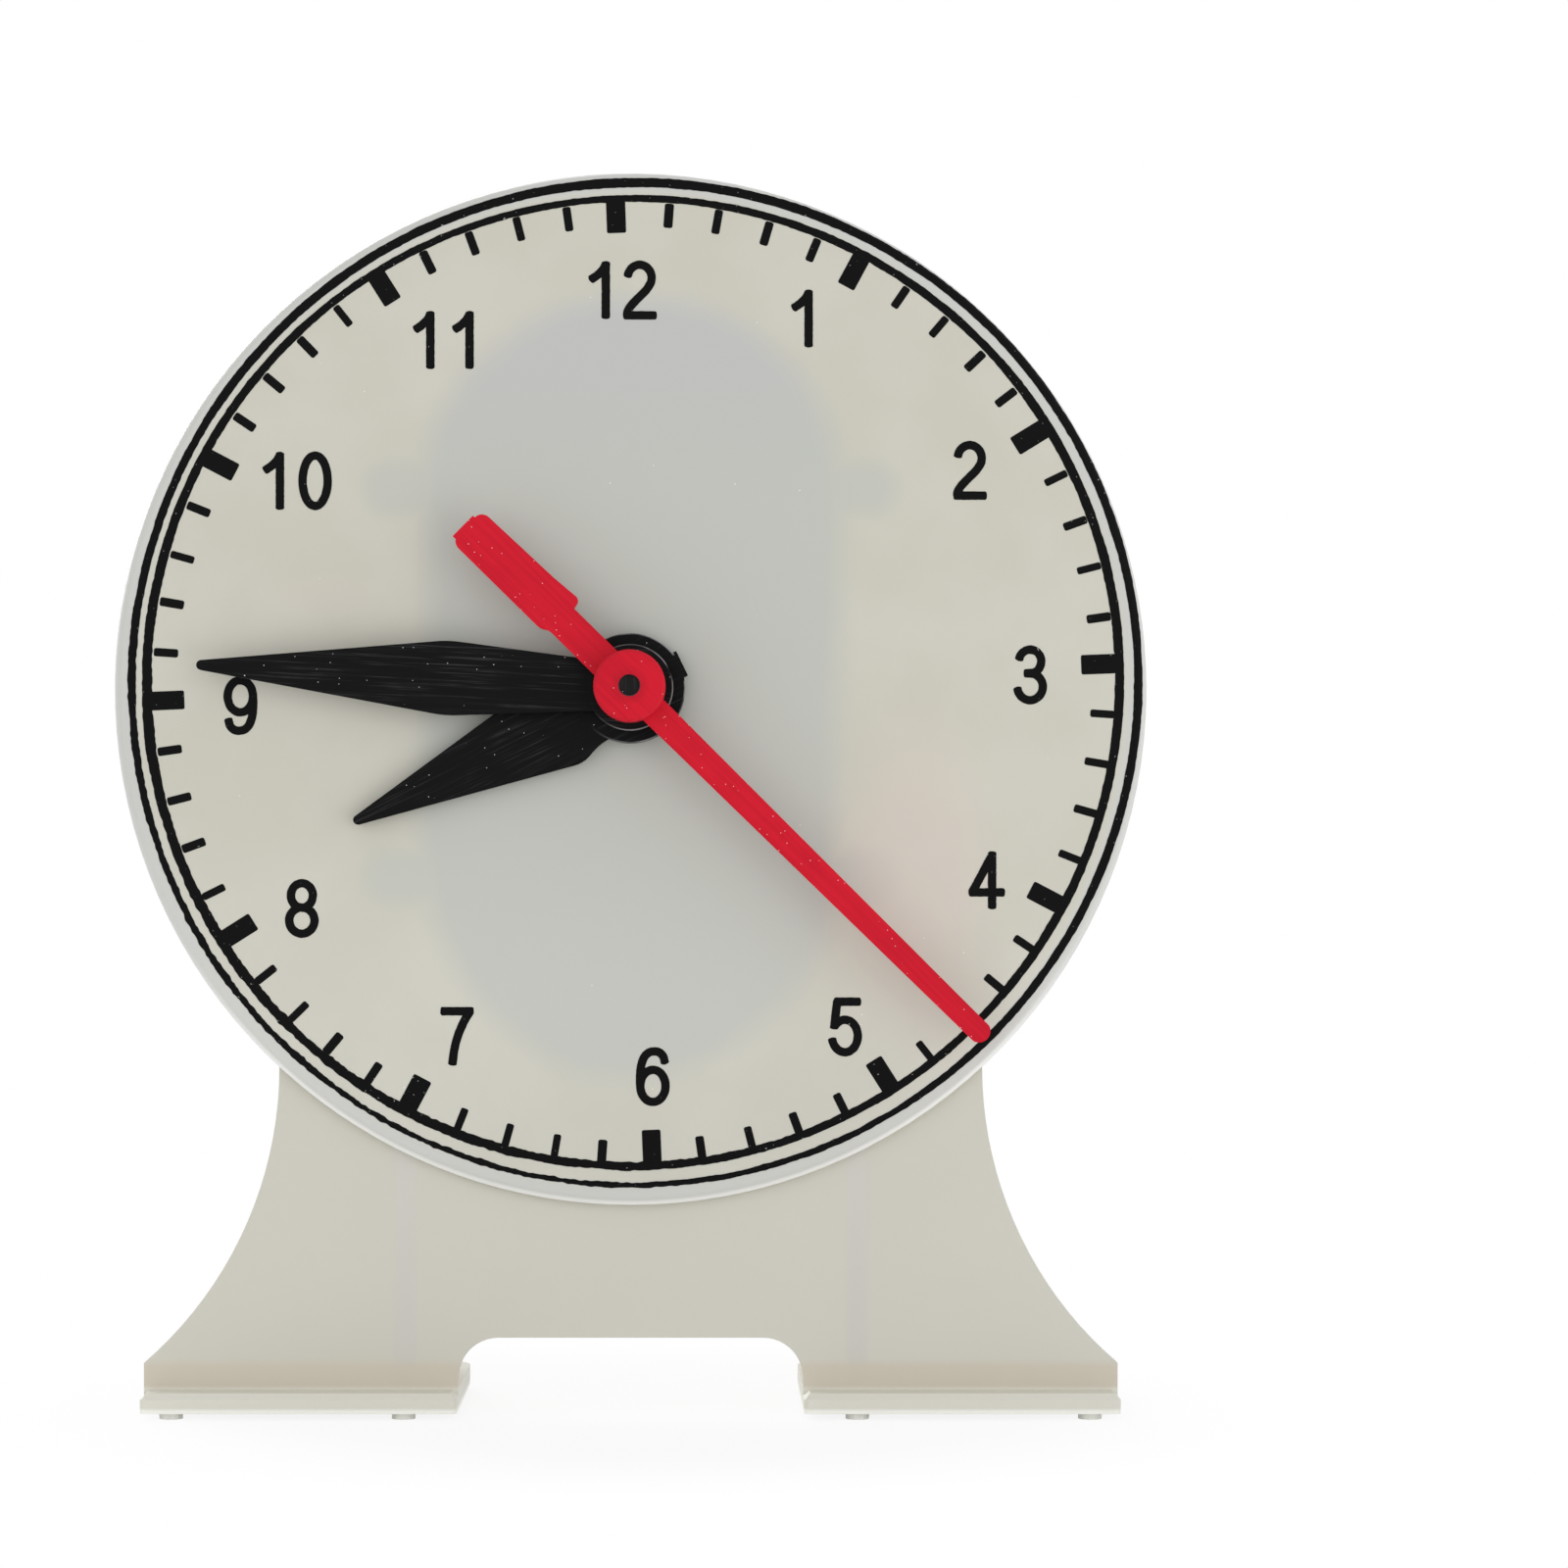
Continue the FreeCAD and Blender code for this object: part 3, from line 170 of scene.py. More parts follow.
def stand_finish():
    """Off-white plastic, darker towards the top, with painted shade over the feet and along each
    gusset and painted light on the feet and pips.
    """
    body_colour, pale_colour = on_screen(208, 206, 194), on_screen(211, 209, 198)
    upper_colour, gusset_shade_colour = on_screen(200, 198, 186), on_screen(205, 203, 196)
    shade_over_feet_colour, painted_light_foot_colour = on_screen(208, 199, 183), on_screen(223, 221, 210)
    painted_light_pip_colour = on_screen(250, 250, 243)
    gusset_side, gusset_strength = 26.0 * MM, 0.8
    material, tree, shader, place = new_finish("stand styrene", roughness=0.42, specular=0.35)
    x, _, z = split(tree, place)
    colour = mottled(tree, place, 22.0, 0.35, 0.65, body_colour, pale_colour)
    colour = blended(tree, fade(tree, z, 12.0 * MM, 40.0 * MM, 0.0, 0.7), colour, upper_colour)
    # Painted shade: a cooler line where each gusset stands behind the plate.
    off_gusset = off(tree, maths(tree, "ABSOLUTE", x), gusset_side)
    near_gusset = fade(tree, off_gusset, 1.7 * MM, 0.6 * MM)
    gusset_shade_share = times(tree, near_gusset, fade(tree, z, 40.0 * MM, 30.0 * MM))
    colour = blended(tree, times(tree, gusset_shade_share, gusset_strength), colour, gusset_shade_colour)
    # Painted shade: a warmer, darker band in the crease just over the feet.
    colour = blended(tree, fade(tree, z, 6.8 * MM, 5.4 * MM, 0.0, 0.85), colour, shade_over_feet_colour)
    # Painted light: the feet made paler against their own shading.
    colour = blended(tree, fade(tree, z, 3.6 * MM, 3.0 * MM), colour, painted_light_foot_colour)
    # Painted light: the pips made pale against the shadow they stand in under the feet.
    colour = blended(tree, fade(tree, z, 1.5 * MM, 1.0 * MM), colour, painted_light_pip_colour)
    paint(tree, shader, colour)
    grain(tree, shader, place, 900.0, 0.02 * MM)
    return material


moulded("stand_moulding", "stand", 0.18 * MM, stand_finish(), "frame")


# --- dial plate ----------------------------------------------------------------------------------
# A white styrene disc with a rounded rim and a skirt behind. The hollow case behind it is painted
# on its face as a cool oval of shade, as if seen through the thin plastic. Everything else
# fastens to its back.

DIAL_CENTRE = Vector((0.0, 0.0, 83.6 * MM))
DIAL_FRONT = -11.2 * MM


def as_vector(tree, x=0.0, y=0.0, z=0.0):
    return wire(tree, "ShaderNodeCombineXYZ", {0: x, 1: y, 2: z}).outputs[0]


def length(tree, vector):
    return wire(tree, "ShaderNodeVectorMath", {0: vector}, operation="LENGTH").outputs["Value"]


def distance(tree, x, rise):
    """How far the shaded point is from the place where x and rise are both nothing."""
    return length(tree, as_vector(tree, x=x, z=rise))


def dial_finish():
    """White plastic with painted shade of the case behind it as a cool oval, a rosy patch on each
    side, a painted sheen on the rim band, and painted light low down and on the edge.
    """
    clear_colour, milky_colour = on_screen(196, 194, 181), on_screen(200, 198, 186)
    cool_case_shade_colour, violet_case_shade_colour = on_screen(186, 188, 181), on_screen(186, 185, 187)
    rosy_colour, painted_light_low_colour = on_screen(207, 196, 187), on_screen(250, 249, 243)
    rim_sheen_colour, dust_colour = on_screen(197, 197, 193), on_screen(238, 238, 238)
    upper_painted_light_edge_colour, lower_painted_light_edge_colour = on_screen(212, 212, 209), on_screen(252, 252, 249)
    case_middle, case_centres, case_half_width = 0.6 * MM, 20.2 * MM, 24.0 * MM
    ear_middle, ear_rise, ear_end = 0.7 * MM, 22.3 * MM, 27.5 * MM
    blur, waviness = 2.4 * MM, 5.0 * MM
    material, tree, shader, place = new_finish("dial styrene", roughness=0.36, specular=0.35)
    x, depth, z = split(tree, place)
    rise = less(tree, z, DIAL_CENTRE.z)
    away = distance(tree, x, rise)
    uneven = times(tree, less(tree, cloud(tree, place, 34.0), 0.5), waviness)
    outer_colour = mottled(tree, place, 75.0, 0.35, 0.65, clear_colour, milky_colour)

    # Painted shade: the case and its screw ears behind the dial, seen through it as a cool oval.
    past_centres = less(tree, off(tree, rise, case_middle), case_centres)
    past_centres = maths(tree, "MAXIMUM", past_centres, 0.0)
    outside_case = less(tree, distance(tree, x, past_centres), case_half_width)
    outside_case = maths(tree, "ADD", outside_case, uneven)
    over_case = fade(tree, outside_case, blur, -blur)
    past_ear = less(tree, maths(tree, "ABSOLUTE", x), ear_end)
    past_ear = maths(tree, "MAXIMUM", past_ear, 0.0)
    off_ear = less(tree, off(tree, rise, ear_middle), ear_rise)
    over_ear = fade(tree, distance(tree, past_ear, off_ear), 4.5 * MM, 1.5 * MM, 0.0, 0.7)
    case_shade_share = maths(tree, "MAXIMUM", over_case, over_ear)
    high_up = fade(tree, rise, 20.0 * MM, 42.0 * MM, 0.0, 0.6)
    case_shade_colour = blended(tree, high_up, cool_case_shade_colour, violet_case_shade_colour)
    colour = blended(tree, case_shade_share, outer_colour, case_shade_colour)

    right_patch = (33.0 * MM, -19.5 * MM, 0.55, 20.0 * MM, 0.55)
    left_patch = (-36.0 * MM, 10.5 * MM, 3.0, 4.0 * MM, 0.3)
    for patch_x, patch_rise, stretch, reach, strength in (right_patch, left_patch):
        aside = maths(tree, "DIVIDE", less(tree, x, patch_x), stretch)
        ragged = maths(tree, "ADD", distance(tree, aside, less(tree, rise, patch_rise)), uneven)
        share = fade(tree, ragged, reach, 0.4 * reach, 0.0, strength)
        colour = blended(tree, share, colour, rosy_colour)

    # Painted sheen: a cooler band towards the rim.
    colour = blended(tree, fade(tree, away, 56.2 * MM, 57.6 * MM), colour, rim_sheen_colour)
    # Painted light: a little paler low down, where the board shades the lamps.
    painted_light_low_share = fade(tree, rise, -10.0 * MM, -42.0 * MM, 0.0, 0.1)
    colour = blended(tree, painted_light_low_share, colour, painted_light_low_colour)
    # Painted light: the rounded edge made paler, most of all at the bottom, where it faces down.
    at_foot = fade(tree, rise, -25.0 * MM, -50.0 * MM)
    painted_light_edge_colour = blended(tree, at_foot, upper_painted_light_edge_colour, lower_painted_light_edge_colour)
    colour = blended(tree, fade(tree, away, 58.5 * MM, 59.1 * MM), colour, painted_light_edge_colour)
    in_front = fade(tree, depth, DIAL_FRONT + 1.6 * MM, DIAL_FRONT + 0.9 * MM)
    colour = blended(tree, in_front, outer_colour, colour)
    paint(tree, shader, blended(tree, specks(tree, place, 420.0, 0.03, 0.2), colour, dust_colour))
    grain(tree, shader, place, 700.0, 0.02 * MM)
    return material


moulded("dial_moulding", "dial_plate", 0.1 * MM, dial_finish(), "frame")


# --- dial printing -------------------------------------------------------------------------------
# Black ink pad-printed on the dial in one go: two rings, 60 marks and twelve numbers. The print
# sits a little high, to the right and turned back, and it is worn and ragged where the pad pressed
# lightly.

INK_THICKNESS = 0.02 * MM


def ink_finish():
    black, bare = on_screen(11, 11, 12), on_screen(150, 149, 146)
    material, tree, shader, place = new_finish("dial ink", roughness=0.55, specular=0.06)
    worn = maths(tree, "GREATER_THAN", cloud(tree, place, 2600.0, 2.0), 0.74)
    paint(tree, shader, blended(tree, worn, black, bare))
    return material


ink = ink_finish()


def ink_level(radius):
    """How far behind the dial's face the ink's own face lies at this distance from the dial's
    centre. It stands 0.03 mm proud of the face, and follows the rounded rim back."""
    rim = [(58.295, -0.03), (58.747, 0.158), (59.092, 0.503), (59.280, 0.955)]
    for (near, high), (far, low) in zip(rim, rim[1:]):
        if radius <= far * MM:
            return (high + (low - high) * max(0.0, radius / MM - near) / (far - near)) * MM
    return rim[-1][1] * MM


def on_dial(x, rise):
    """A point of the ink's face, at x and rise from the dial's centre."""
    return x, DIAL_FRONT + ink_level(math.hypot(x, rise)), DIAL_CENTRE.z + rise


def inked(name, points, faces):
    """Lay a flat figure on the dial as a thin closed film of ink."""
    mesh = bpy.data.meshes.new(name)
    mesh.from_pydata([on_dial(*point) for point in points], [], faces)
    mesh.materials.append(ink)
    film = bpy.data.objects.new(name, mesh)
    bpy.context.scene.collection.objects.link(film)
    thickness = film.modifiers.new("ink film", "SOLIDIFY")
    thickness.thickness = INK_THICKNESS
    thickness.offset = -1.0
    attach(film, "frame")


def ring(name, outside, inside, seed):
    """A printed ring between two edges, in millimetres. Each edge gives x, rise and radius, and
    then how far it runs out of round: twice round as a cosine and a sine, and three times round.
    Both edges wave and are finely serrated, most of all where the pad pressed lightly."""
    steps, across = 2400, 8
    light_side, extra_raggedness = math.radians(222), 1.6
    waves = ((30, 0.045), (130, 0.05), (520, 0.055))
    points, faces = [], []
    for step in range(steps):
        turn = 2 * math.pi * step / steps
        way = Vector((math.sin(turn), math.cos(turn)))
        swings = (math.cos(2 * turn), math.sin(2 * turn), math.cos(3 * turn), math.sin(3 * turn))
        ragged = 1.0 + extra_raggedness * max(0.0, math.cos(turn - light_side)) ** 2
        edges = []
        for side, (x, rise, radius, *out_of_round) in enumerate((inside, outside)):
            radius += sum(size * swing for size, swing in zip(out_of_round, swings))
            for lumps, depth in waves:
                spot = Vector((way.x * lumps / 6, way.y * lumps / 6, seed + 7 * side + lumps))
                radius += depth * ragged * noise.noise(spot)
            edges.append((Vector((x, rise)) + way * radius) * MM)
        for number in range(across + 1):
            points.append(tuple(edges[0].lerp(edges[1], number / across)))
    for step in range(steps):
        following = (step + 1) % steps
        for number in range(across):
            here, there = step * (across + 1) + number, following * (across + 1) + number
            faces.append((here, there, there + 1, here + 1))
    inked(name, points, faces)


ring("outer_ring", (0.53, 0.73, 58.05, -0.14, 0.13, -0.02, -0.015),
     (0.465, 0.52, 57.14, -0.09, 0.16, -0.04, -0.03), 3.0)
ring("inner_ring", (0.27, 0.77, 56.125, -0.2, 0.16, -0.04, -0.01),
     (0.31, 0.83, 55.12, -0.09, 0.09, -0.03, -0.01), 41.0)


def growing_tree(name, sockets):
    """An empty node tree that makes geometry, and its inputs, whose labels come under each kind."""
    tree = bpy.data.node_groups.new(name, "GeometryNodeTree")
    face = tree.interface
    face.new_socket("Geometry", in_out="OUTPUT", socket_type="NodeSocketGeometry")
    for kind, labels in sockets.items():
        for label in labels:
            face.new_socket(label, in_out="INPUT", socket_type="NodeSocket" + kind)
    return tree, tree.nodes.new("NodeGroupInput").outputs


def deliver(tree, copies, material):
    """Turn the tree's copies into plain geometry in one material, as what it makes."""
    real = wire(tree, "GeometryNodeRealizeInstances", {0: copies.outputs[0]})
    covered = wire(tree, "GeometryNodeSetMaterial", {0: real.outputs[0], "Material": material})
    tree.links.new(covered.outputs[0], tree.nodes.new("NodeGroupOutput").inputs[0])


def at_random(tree, low, high, **chance):
    inputs = {2: low, 3: high, **chance}
    return wire(tree, "FunctionNodeRandomValue", inputs, data_type="FLOAT").outputs[1]


def mark_tree():
    """Rounded bars of ink set round a circle in groups, whose first ones may be left out. The print
    is stretched a little on one side, and turns the bars there with it."""
    tree, given = growing_tree("dial marks", {
        "Int": ("Count", "Group", "First Shown", "Seed"),
        "Float": ("Inner Radius", "Length", "Width", "Corner", "First Turn", "Stretched Side",
                  "Stretch", "Uneven", "Film"),
        "Vector": ("Centre",), "Material": ("Ink",),
    })
    corner_steps, stretch_falloff, jitter, same_spot = 5, 6.0, 0.003, 0.001 * MM
    bar = wire(tree, "GeometryNodeCurvePrimitiveQuadrilateral",
               {0: given["Width"], 1: given["Length"]})
    soft = wire(tree, "GeometryNodeFilletCurve",
                {"Curve": bar.outputs[0], "Radius": given["Corner"], "Count": corner_steps},
                mode="POLY")
    filled = wire(tree, "GeometryNodeFillCurve", {0: soft.outputs[0]}, mode="NGONS")
    thick = wire(tree, "GeometryNodeExtrudeMesh",
                 {"Mesh": filled.outputs[0], "Offset Scale": given["Film"]})
    thick.inputs["Individual"].default_value = False
    back = wire(tree, "GeometryNodeFlipFaces", {0: filled.outputs[0]})
    solid = wire(tree, "GeometryNodeJoinGeometry")
    for part in (back, thick):
        tree.links.new(part.outputs[0], solid.inputs[0])
    closed = wire(tree, "GeometryNodeMergeByDistance", {0: solid.outputs[0], "Distance": same_spot})
    middle = maths(tree, "ADD", given["Inner Radius"], times(tree, given["Length"], 0.5))
    upright = wire(tree, "GeometryNodeTransform",
                   {0: closed.outputs[0], "Translation": as_vector(tree, z=middle),
                    "Rotation": (math.pi / 2, 0.0, 0.0)})
    spots = wire(tree, "GeometryNodePoints", {0: given["Count"], 1: given["Centre"]})
    number = tree.nodes.new("GeometryNodeInputIndex").outputs[0]
    chance = {"ID": number, "Seed": given["Seed"]}
    even = times(tree, number, maths(tree, "DIVIDE", 2 * math.pi, given["Count"]))
    facing = maths(tree, "COSINE", less(tree, even, given["Stretched Side"]))
    stretched = maths(tree, "POWER", maths(tree, "MAXIMUM", facing, 0.0), stretch_falloff)
    turn = maths(tree, "ADD", maths(tree, "ADD", even, given["First Turn"]),
                 at_random(tree, -jitter, jitter, **chance))
    turn = maths(tree, "MULTIPLY_ADD", stretched, given["Stretch"], turn)
    in_group = maths(tree, "MODULO", number, given["Group"])
    shown = maths(tree, "GREATER_THAN", in_group, less(tree, given["First Shown"], 0.5))
    width = at_random(tree, less(tree, 1.0, given["Uneven"]),
                      maths(tree, "ADD", 1.0, given["Uneven"]), **chance)
    marks = wire(tree, "GeometryNodeInstanceOnPoints",
                 {"Points": spots.outputs[0], "Selection": shown, "Instance": upright.outputs[0],
                  "Rotation": as_vector(tree, y=turn), "Scale": as_vector(tree, width, 1.0, 1.0)})
    deliver(tree, marks, given["Ink"])
    return tree


def grown(name, tree, settings, body, start=None):
    """Run a node tree with its inputs set, and keep what it makes as a plain mesh on one body."""
    seed_mesh = start or bpy.data.meshes.new(name + " start")
    maker = bpy.data.objects.new(name + " maker", seed_mesh)
    bpy.context.scene.collection.objects.link(maker)
    modifier = maker.modifiers.new(name, "NODES")
    modifier.node_group = tree
    for socket in tree.interface.items_tree:
        if socket.in_out == "INPUT" and socket.name in settings:
            modifier[socket.identifier] = settings[socket.name]
    bpy.context.view_layer.update()
    evaluated = maker.evaluated_get(bpy.context.evaluated_depsgraph_get())
    mesh = bpy.data.meshes.new_from_object(evaluated)
    maker.modifiers.remove(modifier)
    bpy.data.objects.remove(maker)
    mesh.name = name
    piece = bpy.data.objects.new(name, mesh)
    bpy.context.scene.collection.objects.link(piece)
    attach(piece, body)
    return piece


marks = mark_tree()
mark_plane = DIAL_FRONT - 0.006 * MM
same_for_all = {
    "First Turn": math.radians(-2.25), "Stretched Side": math.radians(38),
    "Stretch": math.radians(0.8), "Film": INK_THICKNESS, "Ink": ink,
}
grown("minute_marks", marks, {
    **same_for_all, "Count": 60, "Group": 5, "First Shown": 1, "Seed": 5,
    "Inner Radius": 52.4 * MM, "Length": 2.8 * MM, "Width": 0.94 * MM, "Corner": 0.25 * MM,
    "Uneven": 0.12, "Centre": (0.42 * MM, mark_plane, DIAL_CENTRE.z + 0.6 * MM),
}, "frame")
grown("hour_marks", marks, {
    **same_for_all, "Count": 12, "Group": 1, "First Shown": 0, "Seed": 9,
    "Inner Radius": 51.45 * MM, "Length": 3.95 * MM, "Width": 2.2 * MM, "Corner": 0.22 * MM,
    "Uneven": 0.04, "Centre": (0.25 * MM, mark_plane, DIAL_CENTRE.z + 0.86 * MM),
}, "frame")


def bow(x, y, wide, high, start, end):
    """Points round part of an oval, from start to end in degrees, anticlockwise from the right."""
    count = max(6, int(abs(end - start) / 9))
    angles = [math.radians(start + (end - start) * n / count) for n in range(count + 1)]
    return [(x + wide * math.cos(a), y + high * math.sin(a)) for a in angles]


def swept(*points):
    """A smooth line through a few points."""
    line, steps = [], 6
    padded = (points[0], *points, points[-1])
    for a, b, c, d in zip(padded, padded[1:], padded[2:], padded[3:]):
        for n in range(steps):
            t = n / steps
            line.append(tuple(
                0.5 * (2 * q + (r - p) * t + (2 * p - 5 * q + 4 * r - s) * t * t
                       + (3 * q - p - 3 * r + s) * t ** 3) for p, q, r, s in zip(a, b, c, d)))
    return line + [points[-1]]


def straight(start, end):
    """Points along a straight line, about 2 apart."""
    count = max(1, round(math.dist(start, end) / 2))
    return [tuple(a + (b - a) * n / count for a, b in zip(start, end)) for n in range(count + 1)]


def numeral_strokes():
    """The pen lines of each numeral in a box 60 high, with its middle at 0, 0. A line that ends
    where it starts is a closed bowl."""
    two_neck = swept((11.5, 8.0), (6.5, 0.2), (-1.2, -7.6), (-8.6, -15.4), (-12.4, -21.2),
                     (-13.2, -25.8))
    six_back = swept((12.4, 14.5), (10.6, 20.8), (6.5, 24.8), (1.2, 25.8), (-4.6, 24.2),
                     (-9.2, 19.0), (-12.0, 10.0), (-12.9, -1.0), (-12.7, -10.0))
    six = [six_back, bow(0.2, -9.4, 12.9, 16.4, 0, 360)]
    return {
        "0": [bow(0.0, 0.0, 12.8, 25.8, 0, 360)],
        "1": [swept((-10.4, 10.8), (-4.4, 14.9), (1.2, 20.2), (4.2, 25.4)),
              straight((4.6, 27.6), (4.6, -27.8))],
        "2": [bow(-0.3, 12.6, 12.2, 13.2, 172, 0) + two_neck,
              straight((-15.2, -25.8), (15.4, -25.8))],
        "3": [bow(-0.4, 13.7, 11.4, 12.1, 169, -72) + [(-5.0, 1.6)],
              [(-5.0, 1.6)] + bow(-0.4, -12.1, 13.0, 13.7, 76, -172)],
        "4": [straight((6.0, 26.0), (-14.2, -12.0)), straight((-16.4, -12.4), (17.2, -12.4)),
              straight((5.8, 27.6), (5.8, -27.8))],
        "5": [straight((-10.4, 25.8), (14.2, 25.8)), straight((-8.4, 26.4), (-11.6, -0.6)),
              bow(-0.6, -9.2, 13.2, 16.6, 141, -168)],
        "6": six,
        "7": [straight((-15.4, 25.8), (15.2, 25.8)),
              swept((13.2, 25.6), (7.6, 16.6), (2.2, 4.6), (-2.2, -9.6), (-5.0, -27.8))],
        "8": [bow(0.0, 13.2, 11.2, 12.5, 0, 360), bow(0.0, -12.4, 12.9, 13.4, 0, 360)],
        "9": [[(-x, -y) for x, y in line] for line in six],
    }


def stroke_outline(line, half_width):
    """The quads of one pen line and its ends, square with rounded corners, as points and faces."""
    closed = math.dist(line[0], line[-1]) < 1e-6
    spine = [Vector(point) for point in (line[:-1] if closed else line)]
    count, bulge = len(spine), 0.45
    points, faces = [], []
    for number, here in enumerate(spine):
        before = spine[number - 1] if closed or number else here
        after = spine[(number + 1) % count] if closed or number < count - 1 else here
        along = (after - before).normalized()
        across = Vector((-along.y, along.x)) * half_width
        points += [tuple(here + across), tuple(here - across)]
    for number in range(count if closed else count - 1):
        here, there = 2 * number, 2 * ((number + 1) % count)
        faces.append((here, here + 1, there + 1, there))
    if not closed:
        for end, other, first in ((spine[0], spine[1], True), (spine[-1], spine[-2], False)):
            back = (end - other).normalized()
            side = Vector((-back.y, back.x))
            start = len(points)
            for angle in [math.pi * n / 10 for n in range(1, 10)]:
                out = side * math.cos(angle) + back * math.sin(angle) * bulge
                points.append(tuple(end + out * half_width))
            left, right = (1, 0) if first else (2 * count - 2, 2 * count - 1)
            faces.append((left, *range(start, len(points)), right)[::-1])
    return points, faces


def merged(points, faces):
    """Overlapping strokes as one flat sheet of triangles, with the bowls' insides left open."""
    triangles, snap = 0, 1e-4
    flat = delaunay_2d_cdt([Vector(point) for point in points], [], faces, triangles, snap)
    corners, sheet, covered_by = flat[0], flat[2], flat[5]
    inked_faces = [tuple(face) for face, shapes in zip(sheet, covered_by) if shapes]
    return [tuple(point) for point in corners], inked_faces


def dial_numbers():
    """The twelve numbers as one film of ink, each stroke with a slightly uneven edge. The places
    run to the right and down in a unit of which 8.9 make a millimetre, and the strokes' own points
    run to the right and up in the same unit."""
    unit, middle_right, middle_down, half_width = MM / 8.9, 643.36, 703.07, 4.35
    rough, lumps = 0.035 * MM, 3.1
    places = {
        "12": ((613.5, 296), (653, 296)), "1": ((820.5, 325),), "2": ((989.8, 480),),
        "3": ((1051.5, 688.7),), "4": ((1006.5, 898.2),), "5": ((862.7, 1048),),
        "6": ((666, 1098.7),), "7": ((466.5, 1057.7),), "8": ((308, 927),),
        "9": ((245.4, 719.9),), "10": ((281, 490.6), (321.5, 490.6)),
        "11": ((434.5, 346.9), (474.5, 346.9)),
    }
    strokes = numeral_strokes()
    points, faces = [], []
    for number, spots in places.items():
        for digit, (right, down) in zip(number, spots):
            outline, shapes = [], []
            for line in strokes[digit]:
                more, corners = stroke_outline(line, half_width)
                shapes += [tuple(len(outline) + corner for corner in shape) for shape in corners]
                outline += more
            outline, shapes = merged(outline, shapes)
            faces += [tuple(len(points) + corner for corner in shape) for shape in shapes]
            for x, y in outline:
                x, rise = (right - middle_right + x) * unit, (middle_down - down + y) * unit
                x += rough * noise.noise(Vector((x / MM * lumps, rise / MM * lumps, 3.0)))
                rise += rough * noise.noise(Vector((x / MM * lumps, rise / MM * lumps, 9.0)))
                points.append((x, rise))
    inked("dial_numbers", points, faces)


dial_numbers()


# --- rear cover ----------------------------------------------------------------------------------
# The gear case: a deep off-white styrene shell, a long oval with four screw ears at its sides. It
# carries the rear bearings and is screwed to the dial's back.

def case_finish():
    deep_colour, pale_colour = on_screen(190, 188, 177), on_screen(199, 197, 187)
    material, tree, shader, place = new_finish("case styrene", roughness=0.45, specular=0.35)
    paint(tree, shader, mottled(tree, place, 40.0, 0.3, 0.7, deep_colour, pale_colour))
    grain(tree, shader, place, 1100.0, 0.03 * MM)
    return material


moulded("case_moulding", "rear_cover", 0.2 * MM, case_finish(), "frame")


# --- screws --------------------------------------------------------------------------------------
# Zinc-plated steel screws with pan heads and cross recesses, driven from behind: four through the
# case's ears, four through the stand and one down the knob's middle.

def steel_finish(name, bright, dull, roughness):
    material, tree, shader, place = new_finish(name, roughness=roughness)
    shader.inputs["Metallic"].default_value = 1.0
    paint(tree, shader, mottled(tree, place, 900.0, 0.35, 0.65, dull, bright))
    return material


def screw_tree():
    """A pan-head screw at every point, seat at the point and head towards the back."""
    tree, given = growing_tree("pan head screws", {
        "Geometry": ("Geometry",), "Int": ("Seed",), "Material": ("Steel",),
        "Float": ("Head Radius", "Head Height", "Shank Radius", "Shank Length"),
    })
    rim, shank = given["Head Radius"], given["Shank Radius"]
    crown = times(tree, rim, 0.7)
    skirt_height = times(tree, given["Head Height"], 0.45)
    dome_height = times(tree, given["Head Height"], 0.55)
    below = times(tree, given["Shank Length"], -1.0)
    turned_parts = [(rim, rim, skirt_height, 0.0), (crown, rim, dome_height, skirt_height),
                    (shank, shank, given["Shank Length"], below)]
    body = wire(tree, "GeometryNodeMeshBoolean", operation="UNION")
    for top, bottom, height, level in turned_parts:
        turned = wire(tree, "GeometryNodeMeshCone",
                      {"Vertices": 40, "Radius Top": top, "Radius Bottom": bottom, "Depth": height})
        placed = wire(tree, "GeometryNodeTransform",
                      {0: turned.outputs[0], "Translation": as_vector(tree, z=level)})
        tree.links.new(placed.outputs[0], body.inputs["Mesh"])
    cut = wire(tree, "GeometryNodeMeshBoolean", {0: body.outputs[0]}, operation="DIFFERENCE")
    long_way, narrow = times(tree, rim, 1.2), times(tree, rim, 0.26)
    recess_depth = times(tree, given["Head Height"], 1.1)
    for wide, high in ((long_way, narrow), (narrow, long_way)):
        extent = as_vector(tree, wide, high, recess_depth)
        slot = wire(tree, "GeometryNodeMeshCube", {0: extent})
        top = as_vector(tree, z=given["Head Height"])
        placed = wire(tree, "GeometryNodeTransform", {0: slot.outputs[0], "Translation": top})
        tree.links.new(placed.outputs[0], cut.inputs["Mesh 2"])
    angle = at_random(tree, 0.0, math.pi, Seed=given["Seed"])
    driven = wire(tree, "GeometryNodeInstanceOnPoints",
                  {"Points": given["Geometry"], "Instance": cut.outputs[0],
                   "Rotation": as_vector(tree, -math.pi / 2, angle, 0.0)})
    deliver(tree, driven, given["Steel"])
    return tree


screws = screw_tree()
zinc = steel_finish("zinc plate", on_screen(205, 206, 208), on_screen(168, 169, 172), 0.32)


